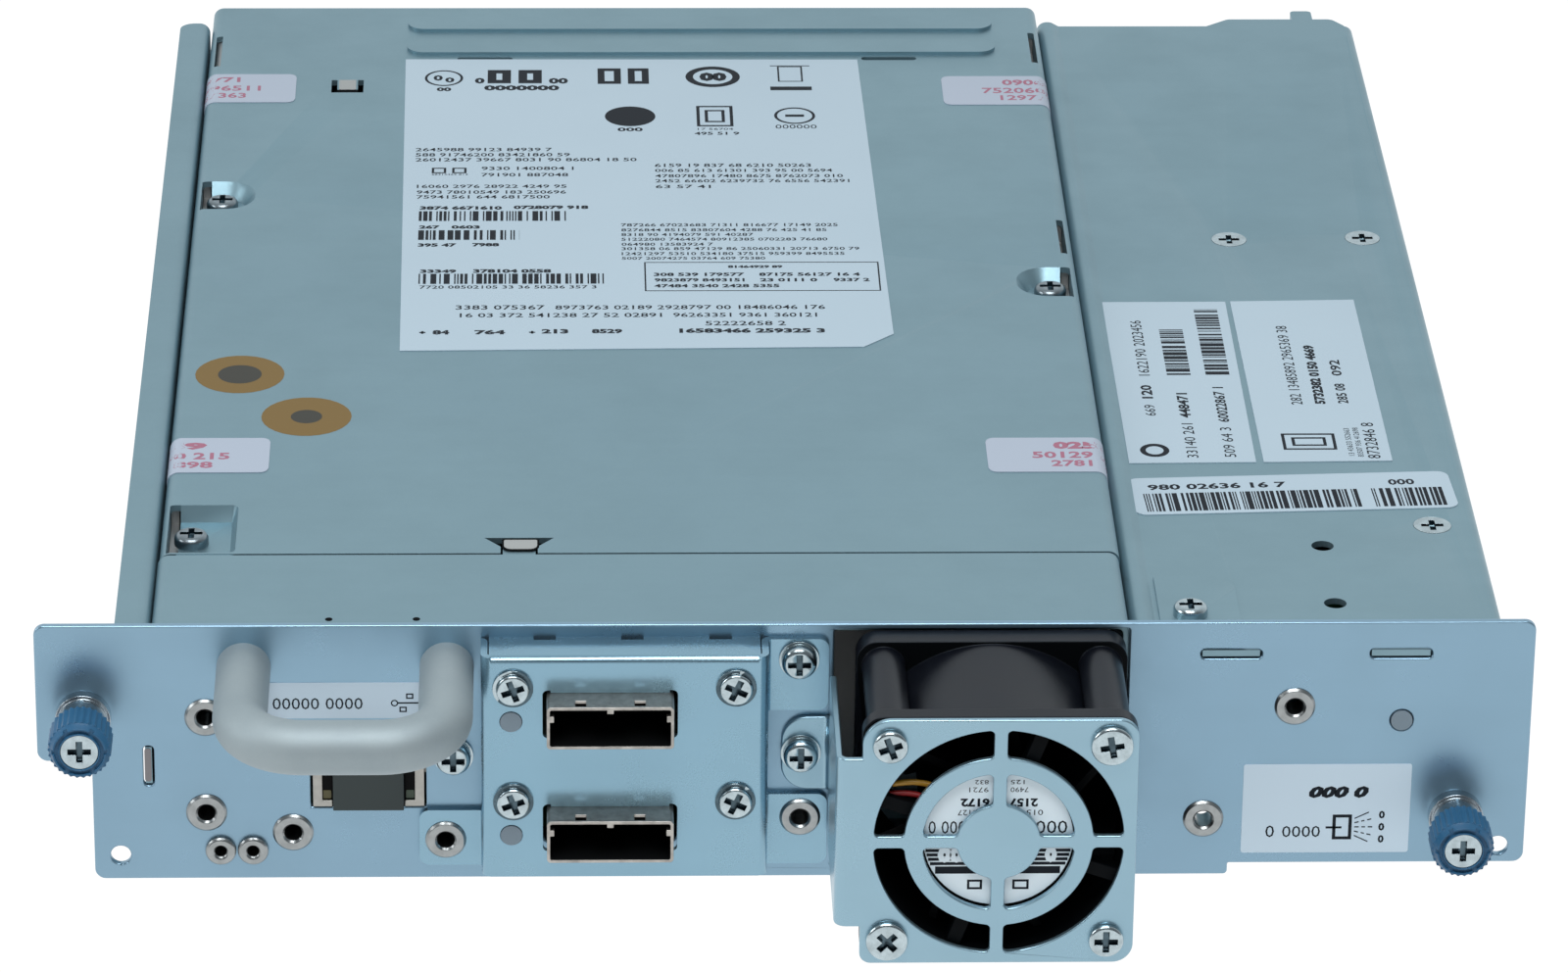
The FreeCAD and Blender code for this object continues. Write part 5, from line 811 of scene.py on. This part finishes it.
brown_film = Finish("brown_film", Base_Color=(0.160, 0.096, 0.017), Roughness=0.35,
                    Specular_IOR_Level=0.2)
# painted shade: the dark middle of each tape dot, where a hole lies under it
painted_hole_black = Finish("painted_hole_black", Base_Color=(0.033, 0.033, 0.026), Roughness=0.42,
                   Specular_IOR_Level=0.2)
bare_lid = moved(0, 0, -FILM, top_plane)            # what lies on the lid with no film below it
for name, x, y, hole in (("far", -83.6, 89.4, 3.45), ("near", -72.7, 73.7, 2.45)):
    dot = Print()
    dot.ring(x, y, DOT_RADIUS, DOT_RADIUS, DOT_RADIUS - hole)
    dot.stick(name + "_tape_dot", bare_lid, brown_film)
    middle = Print()
    middle.disc(x, y, hole, hole)
    middle.stick(name + "_dot_centre", bare_lid, painted_hole_black)


# ---------------------------------------------------------------- small marks on the lid
# A black sheet under the hook's window is painted shade in the opening, and the hook's tip, the
# slot round the cable bay cover's tongue and two holes at the cover's near edge are painted dark
# as painted shade too. The hook's face and the tongue carry painted highlights.
HOOK_FROM_LEFT, HOOK_FROM_FAR = 24.2, 35.5
HOOK_FALL, HOOK_LENGTH = 0.9, 4.2                   # the hook's tip lies this much lower
HOOK_ROOT = 2.7                                     # from the window's middle
WINDOW_SHADE_SINK, HOOK_SINK, SHADE_SINK = 2.5, 0.03, 0.06  # below the lid
SQUARE = (0,) * 4                                   # four corners with no radius
# painted shade: a flat black for the hook's window, the hook's tip, the tongue's slot and two
# holes
painted_shade_black = Finish("painted_shade_black", Base_Color=(0.004, 0.005, 0.006), Roughness=0.9,
                    Specular_IOR_Level=0.05)
# painted highlight: a light patch on the hook's face and on the tongue, where they lean toward the
# light
painted_highlight = Finish("painted_highlight", Base_Color=(0.31, 0.33, 0.33), Roughness=0.5,
                    Specular_IOR_Level=0.3)
hook_x, hook_y = lid_low.x + HOOK_FROM_LEFT, lid_high.y - HOOK_FROM_FAR
film("hook_window_shade", rounded(hook_x - 4, hook_x + 4, hook_y - 3.4, hook_y + 9, SQUARE),
     Matrix.Translation((0, 0, LID - WINDOW_SHADE_SINK * MM)) @ Matrix.Scale(MM, 4), painted_shade_black)
fall = math.atan2(HOOK_FALL, HOOK_LENGTH)
hook_plane = plane((hook_x * MM, (hook_y + HOOK_ROOT) * MM, LID - HOOK_SINK * MM), (1, 0, 0),
                   (0, math.cos(fall), math.sin(fall)))
film("hook_glint", rounded(-1.45, 1.45, -2.9, 0, (0.3, 0.3, 0, 0)), hook_plane, painted_highlight)
film("hook_tip_shade", rounded(-1.8, 1.8, -4.25, -2.95, (0.3, 0.3, 0, 0)), hook_plane, painted_shade_black)
film("tongue_shade", rounded(-42.1, -36.5, 26.2, 30.0, (1.4, 1.4, 0.1, 0.1)),
     moved(0, 0, -SHADE_SINK, top_plane), painted_shade_black)
film("tongue_glint", rounded(-41.8, -36.8, 26.6, 29.7, (1.2, 1.2, 0.3, 0.3)), top_plane,
     painted_highlight)
# painted shade: two dark discs at the cover's near edge, where holes are
edge_hole_shade = Print()
edge_hole_shade.disc(-67.5, 3.45, 0.55, 0.6)
edge_hole_shade.disc(-54.6, 3.45, 0.55, 0.6)
edge_hole_shade.stick("edge_hole_shade", bare_lid, painted_shade_black)


# ---------------------------------------------------------------- labels on the side cover
# Two white labels whose print is turned a quarter, and a long bar code label laid on by hand,
# a few degrees out of line. A ring and two nested squares stand as their marks.
side_plane = plane((0, FACE, SIDE), (1, 0, 0), (0, 1, 0))


def reading_up(x, y):
    """The side cover's plane with print that reads away from the panel, from this spot."""
    return plane((x * MM, FACE + y * MM, SIDE), (0, 1, 0), (-1, 0, 0))


film("product_label", [(55.1, 64.3), (74.9, 64.6), (75.0, 125.1), (54.9, 125.0)], side_plane,
     white_film)
film("approval_label", [(76.1, 64.6), (96.2, 65.0), (96.0, 125.8), (75.8, 125.2)], side_plane,
     white_film)
product = Print()
product.ring(4.5, -4.5, 2.4, 2.3, 0.9)
product.line(17.2, 21.2, -5.7, 1.7)
product.line(23.6, 28.6, -5.7, 1.8, heavy=0.03)
product.line(32.2, 42.3, -5.8, 1.8)
product.line(43.5, 53.3, -5.8, 1.8)
product.line(1.8, 14.3, -11.2, 1.8)
product.line(16.4, 25.6, -11.2, 1.8, heavy=0.03)
product.line(2.0, 12.8, -17.1, 1.8)
product.line(14.8, 27.8, -17.1, 1.8, heavy=0.02)
product.code(32.4, 50.1, -12.3, -8.5, 0.3)
product.code(32.5, 57.6, -18.5, -14.7, 0.3)
product.stick("product_print", reading_up(54.9, 64.4), black_ink)
approval = Print()
approval.outline(4.4, 10.3, -12.1, -3.7, 0.5)
approval.outline(5.8, 8.9, -10.6, -5.2, 0.5)
approval.line(21.0, 50.9, -8.2, 1.8)
approval.line(21.2, 43.4, -11.9, 1.8, heavy=0.05)
approval.line(21.4, 28.8, -15.5, 1.7, heavy=0.02)
approval.line(31.8, 37.8, -15.5, 1.7, heavy=0.02)
approval.line(2.2, 12.2, -14.6, 0.9)
approval.line(1.8, 12.4, -16.0, 0.9)
approval.line(1.2, 14.2, -18.6, 2.0)
approval.stick("approval_print", reading_up(75.9, 64.6), black_ink)

lean = math.radians(2.8)
serial_plane = plane((54.9 * MM, FACE + 45.9 * MM, SIDE), (math.cos(lean), math.sin(lean), 0),
                     (-math.sin(lean), math.cos(lean), 0))
film("serial_label", rounded(0, 50.0, 0, 12.9, (1.8,) * 4), serial_plane, white_film)
serial = Print()
serial.line(2.9, 24.4, 8.5, 2.0, heavy=0.03)
serial.figures("000", 40.3, 44.4, 8.4, 2.0, heavy=0.03)
serial.code(1.9, 35.1, 1.0, 7.3, 0.2)
serial.code(37.3, 48.4, 0.9, 7.3, 0.2)
serial.stick("serial_print", serial_plane, black_ink)


# ---------------------------------------------------------------- small pieces in the panel
# The jack's two lamps, unlit, the end of the tray's tab in its slit, dull cut steel darkened by
# painted shade, and the thin sprung strips that close the gap over each receptacle.
LAMP_SINK = 0.13
GASKET = (0.05, 0.44)                               # from the sleeve's top, low and high
panel_plane = plane((0, FACE, 0), (1, 0, 0), (0, 0, 1))
for name, x, shade in (("left_link_light", -68.05, (0.085, 0.075, 0.02)),
                       ("right_link_light", -55.75, (0.03, 0.06, 0.035))):
    film(name, rounded(x - 0.6, x + 0.6, 13.4, 14.8, (0.2,) * 4),
         moved(0, LAMP_SINK, 0, panel_plane),
         Finish(name + "_lens", Base_Color=shade, Roughness=0.3))
# the tab's end: cut steel, its colour darkened further by painted shade of the slit
tab_out = Matrix.Translation((0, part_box("sled_tray")[0].y - FACE, 0))
film("tab_end", rounded(-95.0, -94.0, 16.3, 21.8, (0.45,) * 4), tab_out @ panel_plane,
     Finish("cut_steel_and_shade", Base_Color=(0.20, 0.19, 0.20), Roughness=0.6))
bracket_plane = moved(0, port_low.y - FACE / MM, 0, panel_plane)
for name in ("upper", "lower"):
    low, high = box_mm(name + "_port_cage")
    gasket = bmesh.new()
    strip = rounded(low.x + 0.6, high.x - 0.6, high.z + GASKET[0], high.z + GASKET[1], SQUARE)
    prism(gasket, strip, -0.9, -0.1)
    stick(name + "_port_gasket", gasket, bracket_plane, port_zinc)


# ---------------------------------------------------------------- labels on the panel
# A strip behind the handle and a squarer one by the right-hand screw, printed with numbers
# and plain signs: boxes, a ring and five short rays.
DASHES = ((0.0, 0.25), (0.4, 0.6), (0.75, 1.0))     # shares of a ray's length
RAY_FROM, RAY_LEVEL, RAY_PITCH = 85.2, 8.0, 0.72    # where the rays start, and their spacing
RAY_HALF = 0.1                                      # half a ray's width
film("jack_label", rounded(-77.0, -47.0, 26.9, 32.8, (0.3,) * 4), panel_plane, cool_film)
jack_print = Print()
jack_print.figures("00000 0000", -75.9, -62.6, 28.4, 1.9)
jack_print.ring(-57.9, 29.4, 0.55, 0.55, 0.2)
jack_print.bar(-57.4, -52.0, 29.3, 29.55)
jack_print.outline(-56.2, -55.1, 30.1, 31.0, 0.22)
jack_print.outline(-57.2, -56.1, 27.9, 28.8, 0.22)
jack_print.stick("jack_print", panel_plane, black_ink)
film("type_label", rounded(68.3, 93.4, 3.7, 18.6, (0.4,) * 4), panel_plane, front_film)
type_print = Print()
type_print.figures("000 0", 78.2, 87.1, 12.9, 2.0, lean=0.25, heavy=0.06)
type_print.figures("0", 71.9, 73.2, 6.3, 2.0)
type_print.figures("0000", 74.4, 80.1, 6.3, 1.9)
type_print.outline(81.9, 84.8, 5.9, 10.1, 0.5)
type_print.bar(80.9, 83.3, 7.75, 8.1)
for k, stop in zip(range(-2, 3), (87.3, 87.7, 87.9, 87.7, 87.3)):
    length, slope = stop - RAY_FROM, k / 4
    y = RAY_LEVEL + RAY_PITCH * k
    for shares in ((0.0, 1.0),) if abs(k) == 2 else DASHES:
        (xa, ya), (xb, yb) = [(RAY_FROM + t * length, y + slope * t * length) for t in shares]
        type_print.patch(((xa, ya - RAY_HALF), (xb, yb - RAY_HALF),
                          (xb, yb + RAY_HALF), (xa, ya + RAY_HALF)))
for k in range(3):
    type_print.figures("0", 88.8, 89.7, 9.4 - 2.05 * k, 1.3, heavy=0.04)
type_print.stick("type_print", panel_plane, black_ink)


# ---------------------------------------------------------------- fan label and leads
# The motor's round label faces out through the finger guard, upside down, with bars and
# figures. Three thin leads cross from the motor to the housing's wall beside it.
LABEL_RADIUS, INK_RADIUS = 10.9, 10.8
MOTOR_SINK = 0.4                                    # from the housing's outer face
HUB_GAP = 1.6                                       # bars stop this far from the middle
LEAD_RADIUS, LEAD_SPAN = 0.45, 7.5                  # a lead's radius, and how far it crosses
LEAD_SIDES, LEAD_STEPS = 10, 12
LEAD_FALL, LEAD_SAG = 0.9, 0.5                      # down to its far end, and between its ends
LEAD_BEHIND, LEAD_BOW = 1.3, 0.3                    # behind the label, and deeper midway
motor_at = (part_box("fan_frame")[0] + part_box("fan_frame")[1]) / 2
label_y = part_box("fan_frame")[0].y + MOTOR_SINK * MM
fan_plane = plane((motor_at.x, label_y, motor_at.z), (-1, 0, 0), (0, 0, -1))
motor_film = film_finish("motor_film", (0.74, 0.86, 0.93))
film("motor_label", circle(0, 0, LABEL_RADIUS, LABEL_RADIUS, 64), fan_plane, motor_film)
motor = Print()
for y, thick in ((1.0, 0.5), (1.72, 0.5), (2.44, 0.5), (3.16, 0.5), (3.88, 0.5), (4.6, 1.2)):
    reach = math.sqrt(INK_RADIUS ** 2 - (y + thick) ** 2)
    motor.bar(-reach, -HUB_GAP, y, y + thick)
    motor.bar(HUB_GAP, reach, y, y + thick)
motor.outline(-4.6, -2.2, 6.8, 8.4, 0.35)
motor.outline(2.2, 4.4, 6.8, 8.4, 0.35)
pale = Print()
pale.figures("0", -8.6, -6.8, 1.4, 2.6, heavy=0.07)
pale.figures("00", 5.0, 8.8, 1.4, 2.6, heavy=0.07)
pale.stick("motor_pale_print", moved(0, -INK, 0, fan_plane), motor_film)
motor.figures("000", -10.0, -5.4, -2.9, 2.1)
motor.figures("000 0", 4.8, 10.2, -2.9, 2.1)
for x0, x1, y, high, heavy in ((-5.6, -1.4, -6.6, 1.4, 0.04), (1.4, 5.6, -6.6, 1.4, 0.04),
                               (-6.4, -4.0, -4.7, 0.9, 0.0), (3.2, 6.0, -4.7, 0.9, 0.0),
                               (-4.2, -1.6, -8.4, 0.8, 0.0), (1.6, 4.4, -8.4, 0.8, 0.0),
                               (-3.6, -1.6, -9.6, 0.7, 0.0), (1.6, 3.6, -9.6, 0.7, 0.0)):
    motor.line(x0, x1, y, high, heavy)
motor.stick("motor_print", fan_plane, black_ink)


def lead(name, shade, height):
    """A lead from the motor's rim to the housing's wall: a tube on a slack curve."""
    path = []
    for t in np.linspace(0, 1, LEAD_STEPS + 1):
        slack = math.sin(math.pi * t)
        path.append(Vector((math.sqrt(LABEL_RADIUS ** 2 - height ** 2) + t * LEAD_SPAN,
                            -height - LEAD_FALL * t - LEAD_SAG * slack,
                            -LEAD_BEHIND - LEAD_BOW * slack)))
    form = bmesh.new()
    rings = []
    for i, at in enumerate(path):
        ahead = (path[min(i + 1, LEAD_STEPS)] - path[max(i - 1, 0)]).normalized()
        side = ahead.cross(Vector((0, 0, 1))).normalized()
        lift = side.cross(ahead)
        ring = circle(0, 0, LEAD_RADIUS, LEAD_RADIUS, LEAD_SIDES)
        rings.append([form.verts.new(at + u * side + v * lift) for u, v in ring])
    for a, b in zip(rings[:-1], rings[1:]):
        for k in range(LEAD_SIDES):
            n = (k + 1) % LEAD_SIDES
            form.faces.new((a[k], a[n], b[n], b[k]))
    form.faces.new(rings[0][::-1])
    form.faces.new(rings[-1])
    for face in form.faces:
        face.smooth = True
    stick(name, form, fan_plane, Finish(name + "_cover", Base_Color=shade, Roughness=0.35))


lead("yellow_lead", (0.42, 0.22, 0.02), 7.4)
lead("red_lead", (0.30, 0.010, 0.012), 5.6)
lead("brown_lead", (0.07, 0.03, 0.02), 4.2)
